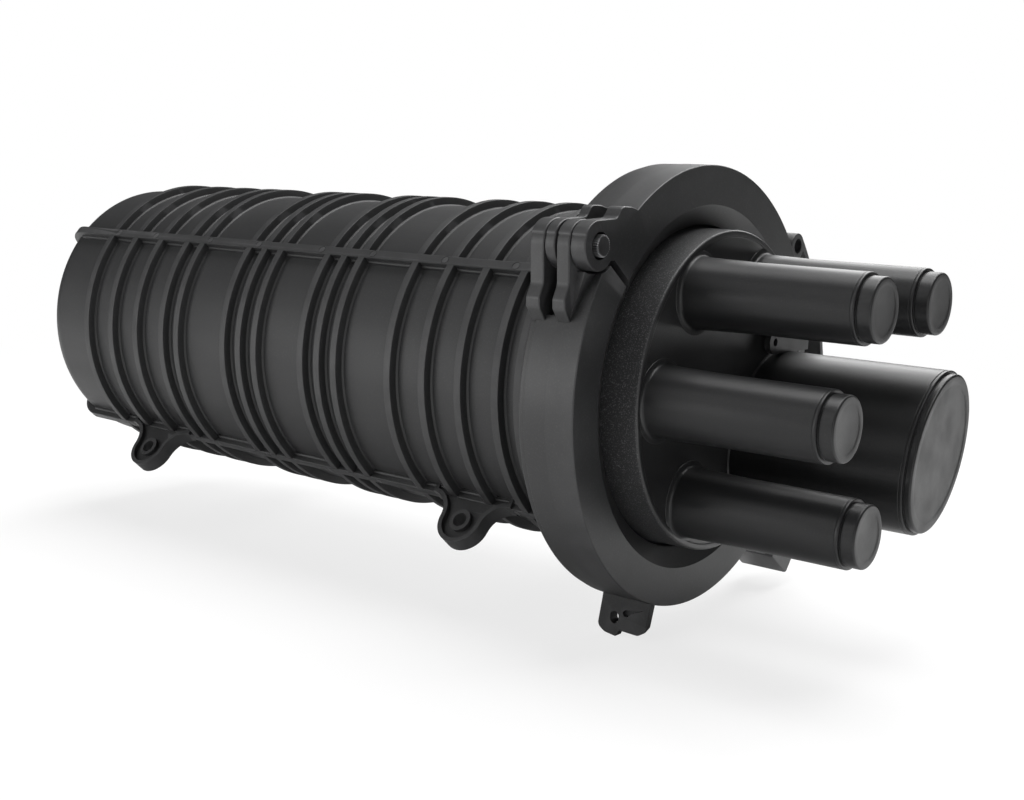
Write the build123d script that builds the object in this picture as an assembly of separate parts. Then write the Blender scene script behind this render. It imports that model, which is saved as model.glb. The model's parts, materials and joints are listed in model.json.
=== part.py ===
from build123d import *
import os
from math import cos, radians, sin

# Hinged-clamp dome closure for fibre splices, lying along X with its cable ports at +X.
#
# All pieces are drawn about the closure's own axis, with x = 0 at the front face of the
# clamp, and are moved together at the end so that the origin lies under the middle of the
# whole, at the level of the lowest point. Angles round the axis are in degrees, from +Y
# towards +Z. Lengths are in millimetres.

# Clamp ring
CLAMP_R = 100.0
CLAMP_WIDTH = 28.4
CLAMP_MOUTH_R = 82.5
CLAMP_LIP_R = 73.4
CLAMP_LIP_DEPTH = 5.0
CLAMP_LIP_THICK = 4.0
CLAMP_WALL = 7.0
CLAMP_SPLIT_ANGLE = 143.0
CLAMP_SPLIT_GAP = 1.6
CLAMP_STEP = 0.8
CLAMP_STEP_WIDTH = 3.0

# Flanges of base and dome, and the seal between them
JOINT_X = -15.2
FLANGE_CLEARANCE = 0.4
FLANGE_TAPER = 0.8
SEAL_R = 83.0
SEAL_SECTION_R = 2.6
SEAL_SQUEEZE = 0.3

# Base
BASE_R = 72.0
BASE_FRONT_X = 12.1
BASE_WALL = 4.0
SKIRT_LENGTH = 16.0
SKIRT_CLEARANCE = 0.8
ROUND_PORT_ANGLES = (58.0, 122.0, 179.0, 240.0)
PORT_CIRCLE_R = 53.4
PORT_R = 14.8
PORT_ROOT_R = 15.6
PORT_ROOT_LENGTH = 26.0
PORT_LENGTH = 84.0
PORT_WALL = 2.8
PORT_STEP = 1.4
PORT_STEP_LENGTH = 6.5
PORT_FILLET = 2.4
OVAL_CENTRE = (38.5, -20.0)
OVAL_TURN = 53.4
OVAL_SPREAD = 30.0
OVAL_R = 23.6
OVAL_LENGTH = 86.0
OVAL_WALL = 3.0

# Lug on the front of the base
LUG_Z = 20.5
LUG_HALF_WIDTH = 5.5
LUG_HOLE_Y = 34.0
LUG_HOLE_R = 1.9
LUG_ROOT_Y = 58.0
LUG_RIM_Y = 67.5
LUG_LIFT = 2.6
LUG_THICK = 2.6

# Dome
DOME_R = 76.2
DOME_END_R = 74.0
DOME_WALL = 3.2
DOME_LENGTH = 383.0
DOME_END_ROUND = 13.0
RIB_HEIGHT = 4.3
RIB_WIDTH = 4.4
RIB_FOOT = 0.9
RIB_CLAMP_GAP = 0.8
RIB_POSITIONS = (44.0, 56.5, 78.0, 99.5, 121.0, 156.5, 168.0, 179.5, 213.5, 225.5, 237.5, 275.0, 287.5,
                 310.0, 332.0, 354.0)
LONG_RIB_HEIGHT = 5.8
LONG_RIB_WIDTH = 5.2
LONG_RIB_END = 2.0
LONG_RIB_END_DROP = 6.0
LONG_RIB_CLOCK = 49.2
LONG_RIB_COUNT = 4
EAR_POSITIONS = (88.0, 319.0)
EAR_ANGLES = (229.2, 319.2)
EAR_HOLE_R = 3.5
EAR_BOSS_R = 6.0
EAR_RADIUS = 12.0
EAR_REACH = 91.5
EAR_THICK = 12.0
EAR_WEB = 5.0
EAR_RIM = 2.6
EAR_FOOT = 23.0

# Hinge of the clamp
HINGE_R = 108.5
KNUCKLE_R = 10.8
PIN_R = 4.0
PIN_CLEARANCE = 0.05
PIN_HEAD_R = 4.7
PIN_HEAD_LENGTH = 1.8
KNUCKLE_WIDTHS = (7.4, 6.4, 5.6, 7.0)
KNUCKLE_GAP = 0.35
KNUCKLE_RELIEF = 0.5
STRAP_LOBE_R = 8.5
STRAP_LOBE_DROP = 15.5
STRAP_WAIST = 8.5
ARM_SPAN = 20.0

# Latch on the far side: a lever hinged on the upper half, with a wedge under a catch on the lower
LATCH_PIVOT_R = 107.0
LATCH_PIVOT_ANGLE = 36.0
LATCH_KNUCKLE_R = 6.5
LATCH_LUG_WIDTH = 9.6
LATCH_SIDE_GAP = 0.4
LATCH_PIN_R = 2.6
LATCH_WIDTH = 25.6
LATCH_FRONT_X = -1.4
LATCH_THICK = 3.2
LATCH_BOW = (123.5, 9.0)
LATCH_HEEL = (105.0, -99.5)
LATCH_TOE = (99.0, -106.8)
LATCH_INNER_TOE = (82.0, -94.2)
LATCH_RAMP_ANGLE = 49.0
LATCH_RAMP_WIDTH = 19.0
WEDGE_SLOPE = 40.0
WEDGE_LENGTH = 38.0
CATCH_GAP = 0.4
CATCH_LENGTH = 30.0
CATCH_NOSE = 5.0
CATCH_WIDTH = 19.0
CATCH_ANGLES = (-39.0, -56.0)

# Foot under the clamp
FOOT_Y = -31.0
FOOT_THICK = 4.0
FOOT_DROP = 113.4
FOOT_STEP = 3.4
FOOT_STEP_X = -16.8
FOOT_HOLE = (-19.3, -104.6)
FOOT_HOLE_R = 2.2
FOOT_HOLE_SLOT = 3.2

# Tray carrier inside the dome, and its posts on the base
SEAT_GAP = 0.3
CARRIER_Z = -24.0
CARRIER_THICK = 2.5
CARRIER_WIDTH = 92.0
CARRIER_LENGTH = 318.0
CARRIER_SIDE = 9.0
CARRIER_START_X = -40.0
CARRIER_TONGUE = 24.0
POST_Y = -7.0
POST_HEIGHTS = (-14.0, 14.0)
POST_R = 5.0
POST_LENGTH = 22.0
SCREW_R = 2.0
SCREW_CLEARANCE = 0.05
SCREW_DEPTH = 11.0
SCREW_HEAD_R = 3.6
SCREW_HEAD_HEIGHT = 2.2
EARTH_X = -60.0
EARTH_R = 3.0
EARTH_LENGTH = 14.0
EARTH_NUT_R = 5.8
STRENGTH_CLAMP_Y = 31.0
STRENGTH_CLAMP = (14.0, 16.0, 5.0)

# Splice trays
TRAY_COUNT = 4
TRAY_LENGTH = 262.0
TRAY_WIDTH = 104.0
TRAY_HEIGHT = 9.0
TRAY_WALL = 2.0
TRAY_CORNER = 20.0
TRAY_START_X = -84.0
TRAY_HUB_R = 16.0
TRAY_HUB_SPREAD = 150.0
TRAY_TAB = 5.0
TRAY_HINGE_R = 3.6
TRAY_ROD_R = 1.6
TRAY_EYE_Y = 27.0
TRAY_EYE_WIDTH = 7.0
RISER_DEPTH = 9.0
RISER_THICK = 3.0
COVER_THICK = 1.6
HOLDER_SLOTS = 6
HOLDER_LENGTH = 42.0
HOLDER_WIDTH = 30.0
HOLDER_HEIGHT = 5.0
STRAP_X = -262.0
STRAP_WIDTH = 16.0
STRAP_THICK = 1.2

# Basket for slack tubes
BASKET_DEPTH = 30.0
BASKET_WIDTH = 70.0
BASKET_LENGTH = 160.0
BASKET_START_X = -74.0
BASKET_WALL = 2.0
BASKET_FLANGE = 9.0


def at(radius, angle):
    """Point (y, z) at a radius and an angle round the axis."""
    return (radius * cos(radians(angle)), radius * sin(radians(angle)))


def along(point, angle, distance):
    """Point (y, z) at a distance from another, in a direction."""
    y, z = at(distance, angle)
    return (point[0] + y, point[1] + z)


def turned(points):
    """Solid turned about the X axis from (x, radius) points."""
    outline = Polyline(*[(x, r, 0) for x, r in points], close=True)
    return revolve(make_face(outline), Axis.X)


def across(x):
    """Plane square to the axis at x, with local axes along Y and Z."""
    return Plane.YZ.offset(x)


def slab(profile, x0, x1):
    """Profile drawn in Y and Z, extruded from x0 to x1."""
    return extrude(across(x0) * profile, x1 - x0)


def disc(centre, radius, x0, x1):
    """Cylinder along X about a (y, z) centre."""
    return slab(Pos(*centre) * Circle(radius), x0, x1)


def polygon(*points):
    """Closed face through (y, z) points."""
    return make_face(Polyline(*points, close=True))


def clamp_section():
    """Points of the clamp's channel section as (x, radius)."""
    back = -CLAMP_WIDTH
    groove_r = CLAMP_R - CLAMP_WALL
    front_wall = -CLAMP_LIP_DEPTH - CLAMP_LIP_THICK
    back_wall = back + CLAMP_LIP_THICK + 3.4
    back_lip_r = DOME_R + 2.4
    return [
        (0, CLAMP_MOUTH_R),
        (0, CLAMP_R - 0.8),
        (-0.8, CLAMP_R),
        (back / 2, CLAMP_R),
        (back / 2, CLAMP_R - CLAMP_STEP / 2),
        (back + CLAMP_STEP_WIDTH, CLAMP_R - CLAMP_STEP / 2),
        (back + CLAMP_STEP_WIDTH, CLAMP_R - CLAMP_STEP),
        (back, CLAMP_R - CLAMP_STEP),
        (back, back_lip_r + 3),
        (back + 3, back_lip_r),
        (back_wall, back_lip_r),
        (back_wall + FLANGE_TAPER, groove_r),
        (front_wall - FLANGE_TAPER, groove_r),
        (front_wall, CLAMP_LIP_R),
        (-CLAMP_LIP_DEPTH, CLAMP_LIP_R),
    ]


def clamp_half(upper):
    """One half of the clamp ring, cut back from the split plane by half the gap."""
    ring = turned(clamp_section())
    size = 3 * CLAMP_R
    side = 1 if upper else -1
    keep = Pos(0, 0, side * (size / 2 + CLAMP_SPLIT_GAP / 2)) * Box(size, size, size)
    return ring & Rot(X=CLAMP_SPLIT_ANGLE - 180) * keep


def knuckle_spans():
    """(x0, x1) of each hinge knuckle from the front: arm, strap, arm, strap."""
    spans = []
    x = 0.0
    for width in KNUCKLE_WIDTHS:
        spans.append((x - width, x))
        x -= width + KNUCKLE_GAP
    return spans


def hinge_centre():
    return at(HINGE_R, CLAMP_SPLIT_ANGLE)


def arm_profile():
    """Arched arm of the upper half: the knuckle and a web that runs down to the ring."""
    pin = hinge_centre()
    top_angle = CLAMP_SPLIT_ANGLE - 4
    foot_angle = CLAMP_SPLIT_ANGLE - ARM_SPAN
    outer = ThreePointArc(at(HINGE_R + KNUCKLE_R - 0.3, top_angle),
                          at(CLAMP_R + 13, CLAMP_SPLIT_ANGLE - ARM_SPAN / 2),
                          at(CLAMP_R - 1, foot_angle))
    inner = Polyline(at(CLAMP_R - 1, foot_angle), at(CLAMP_R - 5, foot_angle),
                     at(CLAMP_R - 5, CLAMP_SPLIT_ANGLE - 2), pin,
                     at(HINGE_R + KNUCKLE_R - 0.3, top_angle))
    return make_face([outer, inner]) + Pos(*pin) * Circle(KNUCKLE_R)


def strap_profile():
    """Strap of the lower half: knuckle, waist and a lobe where it joins the ring."""
    pin = hinge_centre()
    lobe_angle = CLAMP_SPLIT_ANGLE + STRAP_LOBE_DROP
    lobe = at(CLAMP_R + 2, lobe_angle)
    waist_angle = CLAMP_SPLIT_ANGLE + STRAP_LOBE_DROP / 2
    web = make_face([
        ThreePointArc(at(HINGE_R + KNUCKLE_R - 2, CLAMP_SPLIT_ANGLE + 2.5),
                      at(CLAMP_R + STRAP_WAIST - 1.5, waist_angle),
                      at(CLAMP_R + STRAP_LOBE_R, lobe_angle - 2)),
        Polyline(at(CLAMP_R + STRAP_LOBE_R, lobe_angle - 2), at(CLAMP_R - 5, lobe_angle),
                 at(CLAMP_R - 5, CLAMP_SPLIT_ANGLE + 2), at(HINGE_R + KNUCKLE_R - 2, CLAMP_SPLIT_ANGLE + 2.5)),
    ])
    return web + Pos(*pin) * Circle(KNUCKLE_R) + Pos(*lobe) * Circle(STRAP_LOBE_R)


def latch_pivot():
    return at(LATCH_PIVOT_R, LATCH_PIVOT_ANGLE)


def latch_middle_x():
    return LATCH_FRONT_X - LATCH_WIDTH / 2


def foot():
    """Drilled plate under the ring, with its stepped lower edge and a small rib."""
    top = CLAMP_R - CLAMP_WALL / 2
    width = CLAMP_WIDTH
    outline = Polyline(
        (-width, -top + 6), (-width, -FOOT_DROP + 4), (-width + 3, -FOOT_DROP + 0.9),
        (FOOT_STEP_X - 1.2, -FOOT_DROP), (FOOT_STEP_X, -FOOT_DROP + FOOT_STEP),
        (-5.5, -FOOT_DROP + FOOT_STEP), (-2.4, -FOOT_DROP + FOOT_STEP + 3), (-0.8, -top + 6), close=True)
    plane = Plane(origin=(0, FOOT_Y, 0), x_dir=(1, 0, 0), z_dir=(0, -1, 0))
    plate = extrude(plane * make_face(outline), FOOT_THICK / 2, both=True)
    hole = extrude(plane * Pos(*FOOT_HOLE) * SlotCenterToCenter(FOOT_HOLE_SLOT, 2 * FOOT_HOLE_R, rotation=90),
                   FOOT_THICK, both=True)
    rib = Pos(-7, FOOT_Y - FOOT_THICK / 2, -CLAMP_R) * Box(10, 3, 2)
    return plate - hole + rib


def clamp_lower():
    """Fixed half of the clamp: hinge straps, foot and the lug that carries the latch."""
    half = clamp_half(upper=False)
    pin = hinge_centre()
    spans = knuckle_spans()
    for x0, x1 in spans[0::2]:
        half -= disc(pin, KNUCKLE_R + KNUCKLE_RELIEF, x0 - KNUCKLE_GAP, x1 + KNUCKLE_GAP)
    for x0, x1 in spans[1::2]:
        half += slab(strap_profile(), x0, x1)
    half += foot()
    inner = along(LATCH_INNER_TOE, WEDGE_SLOPE + 90, CATCH_GAP)
    outer = along(inner, WEDGE_SLOPE, CATCH_LENGTH)
    catch = polygon(at(CLAMP_R - 4, CATCH_ANGLES[0]), along(outer, 90, CATCH_NOSE), outer, inner,
                    at(CLAMP_R - 4, CATCH_ANGLES[1]))
    half += slab(catch, latch_middle_x() - CATCH_WIDTH / 2, latch_middle_x() + CATCH_WIDTH / 2)
    half -= disc(pin, PIN_R + PIN_CLEARANCE, -CLAMP_WIDTH - 1, 1)
    return half


def clamp_upper():
    """Swinging half of the clamp: hinge arms and the catch for the latch."""
    half = clamp_half(upper=True)
    pin = hinge_centre()
    spans = knuckle_spans()
    for x0, x1 in spans[1::2]:
        half -= disc(pin, KNUCKLE_R + KNUCKLE_RELIEF, x0 - KNUCKLE_GAP, x1 + KNUCKLE_GAP)
    for x0, x1 in spans[0::2]:
        half += slab(arm_profile(), x0, x1)
    half -= disc(pin, PIN_R + PIN_CLEARANCE, -CLAMP_WIDTH - 1, 1)
    pivot = latch_pivot()
    middle = latch_middle_x()
    ramp = polygon(at(CLAMP_R - 4, LATCH_PIVOT_ANGLE), at(LATCH_PIVOT_R, LATCH_PIVOT_ANGLE + 1.2),
                   at(CLAMP_R + 3.2, LATCH_PIVOT_ANGLE + 4.4), at(CLAMP_R + 2.6, LATCH_PIVOT_ANGLE + 9),
                   at(CLAMP_R - 0.5, LATCH_RAMP_ANGLE), at(CLAMP_R - 4, LATCH_RAMP_ANGLE))
    half += slab(ramp, middle - LATCH_RAMP_WIDTH / 2, middle + LATCH_RAMP_WIDTH / 2)
    half -= disc(pivot, LATCH_KNUCKLE_R + LATCH_SIDE_GAP, -CLAMP_WIDTH, 0)
    neck = polygon(at(CLAMP_R - 4, LATCH_PIVOT_ANGLE - 5), at(CLAMP_R, LATCH_PIVOT_ANGLE - 4.4),
                   at(LATCH_PIVOT_R, LATCH_PIVOT_ANGLE - 2.8), at(LATCH_PIVOT_R, LATCH_PIVOT_ANGLE + 2.8),
                   at(CLAMP_R + 2.6, LATCH_PIVOT_ANGLE + 6), at(CLAMP_R - 4, LATCH_PIVOT_ANGLE + 6))
    half += slab(neck + Pos(*pivot) * Circle(LATCH_KNUCKLE_R),
                 middle - LATCH_LUG_WIDTH / 2, middle + LATCH_LUG_WIDTH / 2)
    return half - disc(pivot, LATCH_PIN_R + PIN_CLEARANCE, -CLAMP_WIDTH, 0)


def hinge_pin():
    """Headed pin through the four knuckles."""
    pin = hinge_centre()
    shaft = disc(pin, PIN_R, -CLAMP_WIDTH, 0.2)
    head = disc(pin, PIN_HEAD_R, 0.2, 0.2 + PIN_HEAD_LENGTH)
    head = chamfer(head.edges().group_by(Axis.X)[-1], 0.5)
    return shaft + head


def latch_lever():
    """Bowed lever of the latch: rolled knuckle above, wedge below."""
    pivot = latch_pivot()
    start = along(pivot, LATCH_PIVOT_ANGLE, LATCH_KNUCKLE_R)
    start_in = along(pivot, LATCH_PIVOT_ANGLE, LATCH_KNUCKLE_R - LATCH_THICK)
    heel_in = (LATCH_HEEL[0] - LATCH_THICK, LATCH_HEEL[1])
    bow_in = (LATCH_BOW[0] - LATCH_THICK, LATCH_BOW[1])
    strap = make_face([
        ThreePointArc(LATCH_HEEL, LATCH_BOW, start),
        Line(start, start_in),
        ThreePointArc(start_in, bow_in, heel_in),
        Line(heel_in, LATCH_HEEL),
    ])
    wedge = polygon(LATCH_HEEL, LATCH_TOE, LATCH_INNER_TOE, along(LATCH_INNER_TOE, WEDGE_SLOPE, WEDGE_LENGTH))
    back = LATCH_FRONT_X - LATCH_WIDTH
    lever = slab(strap + wedge + Pos(*pivot) * Circle(LATCH_KNUCKLE_R), back, LATCH_FRONT_X)
    half_slot = LATCH_LUG_WIDTH / 2 + LATCH_SIDE_GAP
    lever -= disc(pivot, LATCH_KNUCKLE_R + 2 * LATCH_SIDE_GAP, latch_middle_x() - half_slot, latch_middle_x() + half_slot)
    return lever - disc(pivot, LATCH_PIN_R + PIN_CLEARANCE, back - 1, LATCH_FRONT_X + 1)


def latch_pin():
    back = LATCH_FRONT_X - LATCH_WIDTH
    return disc(latch_pivot(), LATCH_PIN_R, back, LATCH_FRONT_X)


def base():
    """Port moulding: flange, front body, skirt inside the dome and five closed ports."""
    groove_r = CLAMP_R - CLAMP_WALL
    flange_front = -CLAMP_LIP_DEPTH - CLAMP_LIP_THICK - FLANGE_CLEARANCE
    flange_r = groove_r - 1.5
    skirt_r = DOME_R - DOME_WALL - SKIRT_CLEARANCE
    skirt_end = JOINT_X - SKIRT_LENGTH
    inner_r = BASE_R - BASE_WALL
    body = turned([
        (BASE_FRONT_X, 0), (BASE_FRONT_X, BASE_R - 1.2), (BASE_FRONT_X - 1.2, BASE_R),
        (flange_front, BASE_R), (flange_front - FLANGE_TAPER, flange_r), (JOINT_X, flange_r),
        (JOINT_X, SEAL_R + SEAL_SECTION_R), (JOINT_X + 2 * SEAL_SECTION_R - SEAL_SQUEEZE, SEAL_R + SEAL_SECTION_R),
        (JOINT_X + 2 * SEAL_SECTION_R - SEAL_SQUEEZE, SEAL_R - SEAL_SECTION_R), (JOINT_X, SEAL_R - SEAL_SECTION_R),
        (JOINT_X, skirt_r), (skirt_end + 1, skirt_r), (skirt_end, skirt_r - 1),
        (skirt_end, inner_r - 1.5), (BASE_FRONT_X - BASE_WALL, inner_r - 1.5), (BASE_FRONT_X - BASE_WALL, 0),
    ])
    tip = BASE_FRONT_X + PORT_LENGTH
    shoulder = tip - PORT_STEP_LENGTH
    bores = []
    for angle in ROUND_PORT_ANGLES:
        place = Pos(0, *at(PORT_CIRCLE_R, angle))
        tube = turned([
            (BASE_FRONT_X - 1, 0), (BASE_FRONT_X - 1, PORT_ROOT_R + PORT_FILLET),
            (BASE_FRONT_X, PORT_ROOT_R + PORT_FILLET), (BASE_FRONT_X + 0.3 * PORT_FILLET, PORT_ROOT_R + 0.3 * PORT_FILLET),
            (BASE_FRONT_X + PORT_FILLET, PORT_ROOT_R), (BASE_FRONT_X + PORT_ROOT_LENGTH, PORT_R),
            (shoulder - 0.5, PORT_R), (shoulder, PORT_R - 0.5), (shoulder, PORT_R - PORT_STEP),
            (tip - 0.8, PORT_R - PORT_STEP), (tip, PORT_R - PORT_STEP - 0.8), (tip, 0),
        ])
        body += place * tube
        bores.append(place * disc((0, 0), PORT_R - PORT_WALL, BASE_FRONT_X - BASE_WALL - 1, tip - PORT_WALL))
    oval_place = Pos(0, *OVAL_CENTRE)
    oval_tip = BASE_FRONT_X + OVAL_LENGTH
    oval_shoulder = oval_tip - PORT_STEP_LENGTH

    def oval(radius, x0, x1):
        face = SlotCenterToCenter(OVAL_SPREAD, 2 * radius, rotation=OVAL_TURN)
        return oval_place * slab(face, x0, x1)

    port = oval(OVAL_R, BASE_FRONT_X - 1, oval_shoulder)
    port = chamfer(port.edges().group_by(Axis.X)[-1], 0.5)
    plug = oval(OVAL_R - PORT_STEP, oval_shoulder, oval_tip)
    plug = chamfer(plug.edges().group_by(Axis.X)[-1], 0.8)
    body += port + plug
    bores.append(oval(OVAL_R - OVAL_WALL, BASE_FRONT_X - BASE_WALL - 1, oval_tip - OVAL_WALL))
    for bore in bores:
        body -= bore
    for post in base_posts():
        body += post
    return body + base_lug()


def base_lug():
    """Drilled lug that stands off the front of the base, between two ports."""
    x0 = BASE_FRONT_X + LUG_LIFT
    x1 = x0 + LUG_THICK
    length = LUG_RIM_Y - LUG_HOLE_Y
    plate = Pos((LUG_RIM_Y + LUG_HOLE_Y) / 2, LUG_Z) * Rectangle(length, 2 * LUG_HALF_WIDTH)
    plate += Pos(LUG_HOLE_Y, LUG_Z) * Circle(LUG_HALF_WIDTH)
    plate -= Pos(LUG_HOLE_Y, LUG_Z) * Circle(LUG_HOLE_R)
    root = Pos((LUG_RIM_Y + LUG_ROOT_Y) / 2, LUG_Z) * Rectangle(LUG_RIM_Y - LUG_ROOT_Y, 2 * LUG_HALF_WIDTH)
    return slab(plate, x0, x1) + slab(root, BASE_FRONT_X - 0.5, x0)


def seal_ring():
    """O-ring in the groove of the base, squeezed by the dome's flange."""
    section = Pos(JOINT_X + SEAL_SECTION_R - SEAL_SQUEEZE / 2, SEAL_R) * Circle(SEAL_SECTION_R - SEAL_SQUEEZE / 2)
    return revolve(section, Axis.X)


def dome_radius(distance):
    """Outer radius of the dome's wall at a distance behind the clamp's front."""
    share = (distance + JOINT_X) / DOME_LENGTH
    return DOME_R + (DOME_END_R - DOME_R) * share


def ear(distance, angle):
    """Mounting ear on a long rib: dished web, rim and drilled boss, drawn as x and radius."""
    wall = dome_radius(distance) - 1.0
    x = -distance
    bend = (EAR_RADIUS + 0.25 * (EAR_FOOT - EAR_RADIUS), wall + 0.3 * (EAR_REACH - wall))
    outline = make_face([
        ThreePointArc((x - EAR_RADIUS, EAR_REACH), (x, EAR_REACH + EAR_RADIUS), (x + EAR_RADIUS, EAR_REACH)),
        ThreePointArc((x + EAR_RADIUS, EAR_REACH), (x + bend[0], bend[1]), (x + EAR_FOOT, wall)),
        Line((x + EAR_FOOT, wall), (x - EAR_FOOT, wall)),
        ThreePointArc((x - EAR_FOOT, wall), (x - bend[0], bend[1]), (x - EAR_RADIUS, EAR_REACH)),
    ])
    solid = extrude(outline, EAR_THICK / 2, both=True)
    dish = extrude(offset(outline, -EAR_RIM), (EAR_THICK - EAR_WEB) / 2)
    boss = Pos(x, EAR_REACH, 0) * Cylinder(EAR_BOSS_R, EAR_THICK)
    hole = Pos(x, EAR_REACH, 0) * Cylinder(EAR_HOLE_R, EAR_THICK + 2)
    solid -= Pos(0, 0, EAR_WEB / 2) * dish
    solid -= Pos(0, 0, -EAR_THICK / 2) * dish
    solid = solid + boss - hole
    return Rot(X=angle) * solid


def dome():
    """Ribbed dome: tapered shell, flange, hoop ribs, long ribs and four ears."""
    back_wall = -CLAMP_WIDTH + CLAMP_LIP_THICK + 3.4
    flange_r = CLAMP_R - CLAMP_WALL - 1.5
    flange_back = back_wall + FLANGE_CLEARANCE
    end_x = JOINT_X - DOME_LENGTH
    crown = end_x + DOME_END_ROUND
    crown_r = dome_radius(-crown)
    outline = [(JOINT_X, 0), (JOINT_X, flange_r), (flange_back + FLANGE_TAPER, flange_r), (flange_back, DOME_R)]
    for distance in RIB_POSITIONS:
        radius = dome_radius(distance)
        half = RIB_WIDTH / 2
        foot = half + RIB_FOOT
        outline += [(-distance + foot, radius), (-distance + half, radius + RIB_FOOT),
                    (-distance + half, radius + RIB_HEIGHT), (-distance - half, radius + RIB_HEIGHT),
                    (-distance - half, radius + RIB_FOOT), (-distance - foot, radius)]
    outline += [(crown, crown_r), (crown - 0.55 * DOME_END_ROUND, crown_r - 0.12 * DOME_END_ROUND),
                (crown - 0.86 * DOME_END_ROUND, crown_r - 0.45 * DOME_END_ROUND),
                (end_x, crown_r - DOME_END_ROUND), (end_x, 0)]
    shell = turned(outline)
    rib_start = -CLAMP_WIDTH - RIB_CLAMP_GAP
    for index in range(LONG_RIB_COUNT):
        angle = LONG_RIB_CLOCK + index * 360 / LONG_RIB_COUNT
        rib = make_face(Polyline((rib_start, DOME_R - 1), (rib_start, DOME_R + LONG_RIB_HEIGHT),
                                 (crown, crown_r + LONG_RIB_HEIGHT), (end_x - LONG_RIB_END, crown_r - LONG_RIB_END_DROP),
                                 (end_x - LONG_RIB_END, crown_r - DOME_END_ROUND), (crown, crown_r - 1), close=True))
        shell += Rot(X=angle) * extrude(rib, LONG_RIB_WIDTH / 2, both=True)
    inner_r = DOME_R - DOME_WALL
    inner_crown_r = crown_r - DOME_WALL
    cavity = turned([
        (JOINT_X + 1, 0), (JOINT_X + 1, inner_r), (JOINT_X, inner_r), (crown, inner_crown_r),
        (crown - 0.8 * (DOME_END_ROUND - DOME_WALL), inner_crown_r - 0.5 * (DOME_END_ROUND - DOME_WALL)),
        (end_x + DOME_WALL, inner_crown_r - DOME_END_ROUND + DOME_WALL), (end_x + DOME_WALL, 0),
    ])
    shell -= cavity
    for angle in EAR_ANGLES:
        for distance in EAR_POSITIONS:
            shell += ear(distance, angle)
    return shell


def box_between(low, high):
    """Box from its low corner to its high corner."""
    return Pos(*[(a + b) / 2 for a, b in zip(low, high)]) * Box(*[b - a for a, b in zip(low, high)])


def post_places():
    """(y, z) of the posts inside the base that hold the tray carrier."""
    return [(POST_Y, z) for z in POST_HEIGHTS]


def post_end_x():
    return BASE_FRONT_X - BASE_WALL - POST_LENGTH


def base_posts():
    """Drilled posts on the inner side of the base's front wall."""
    posts = []
    for place in post_places():
        post = disc(place, POST_R, post_end_x(), BASE_FRONT_X - BASE_WALL + 0.5)
        posts.append(post - disc(place, SCREW_R + SCREW_CLEARANCE, post_end_x() - 1, post_end_x() + SCREW_DEPTH))
    return posts


def tray_carrier():
    """Folded carrier plate: side walls, screwed end plate and holes for what it holds."""
    half = CARRIER_WIDTH / 2
    low = CARRIER_Z
    high = CARRIER_Z + CARRIER_THICK
    wall_top = CARRIER_Z + CARRIER_SIDE
    x1 = CARRIER_START_X
    x0 = x1 - CARRIER_LENGTH
    section = polygon((-half, low), (half, low), (half, wall_top), (half - CARRIER_THICK, wall_top),
                      (half - CARRIER_THICK, high), (-half + CARRIER_THICK, high),
                      (-half + CARRIER_THICK, wall_top), (-half, wall_top))
    plate = slab(section, x0, x1)
    tongue_y = (POST_Y - CARRIER_TONGUE / 2, POST_Y + CARRIER_TONGUE / 2)
    plate_x = post_end_x() - CARRIER_THICK
    plate += box_between((x1 - 1, tongue_y[0], low), (plate_x + CARRIER_THICK, tongue_y[1], high))
    plate += box_between((plate_x, tongue_y[0], low), (plate_x + CARRIER_THICK, tongue_y[1], max(POST_HEIGHTS) + 7))
    for place in post_places():
        plate -= disc(place, SCREW_R + SCREW_CLEARANCE, plate_x - 1, plate_x + CARRIER_THICK + 1)
    for x, y in basket_screw_places() + [(x, y) for x, y in clamp_places()]:
        plate -= Pos(x, y, low) * Cylinder(SCREW_R + SCREW_CLEARANCE, 3 * CARRIER_THICK)
    plate -= Pos(EARTH_X, POST_Y, low) * Cylinder(EARTH_R + SCREW_CLEARANCE, 3 * CARRIER_THICK)
    return plate


def carrier_screws():
    """Two screws through the carrier's end plate into the posts."""
    x = post_end_x() - CARRIER_THICK
    screws = []
    for place in post_places():
        head = disc(place, SCREW_HEAD_R, x - SCREW_HEAD_HEIGHT, x)
        screws.append(head + disc(place, SCREW_R, x, x + CARRIER_THICK + SCREW_DEPTH - 1))
    return Compound(children=screws)


def basket_screw_places():
    """(x, y) of the screws that hang the slack basket under the carrier."""
    inset = 14.0
    y = BASKET_WIDTH / 2 + BASKET_FLANGE / 2
    ends = (BASKET_START_X - inset, BASKET_START_X - BASKET_LENGTH + inset)
    return [(x, side * y) for x in ends for side in (-1, 1)]


def slack_basket():
    """Trough under the carrier for slack tubes, with flanges and cut-outs in its ends."""
    half = BASKET_WIDTH / 2
    top = CARRIER_Z - SEAT_GAP
    floor = top - BASKET_DEPTH
    x1 = BASKET_START_X
    x0 = x1 - BASKET_LENGTH
    trough = box_between((x0, -half, floor), (x1, half, top))
    trough = fillet(trough.edges().filter_by(Axis.X).group_by(Axis.Z)[0], 9)
    hollow = box_between((x0 + BASKET_WALL, -half + BASKET_WALL, floor + BASKET_WALL),
                         (x1 - BASKET_WALL, half - BASKET_WALL, top + 1))
    hollow = fillet(hollow.edges().filter_by(Axis.X).group_by(Axis.Z)[0], 7)
    trough -= hollow
    trough -= box_between((x0 - 1, -half / 2, floor + BASKET_DEPTH / 2), (x1 + 1, half / 2, top + 1))
    for side in (-1, 1):
        y0, y1 = sorted((side * (half - 0.5), side * (half + BASKET_FLANGE)))
        trough += box_between((x0, y0, top - BASKET_WALL), (x1, y1, top))
    for x, y in basket_screw_places():
        trough -= Pos(x, y, top) * Cylinder(SCREW_R + SCREW_CLEARANCE, 3 * BASKET_WALL)
    return trough


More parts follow.
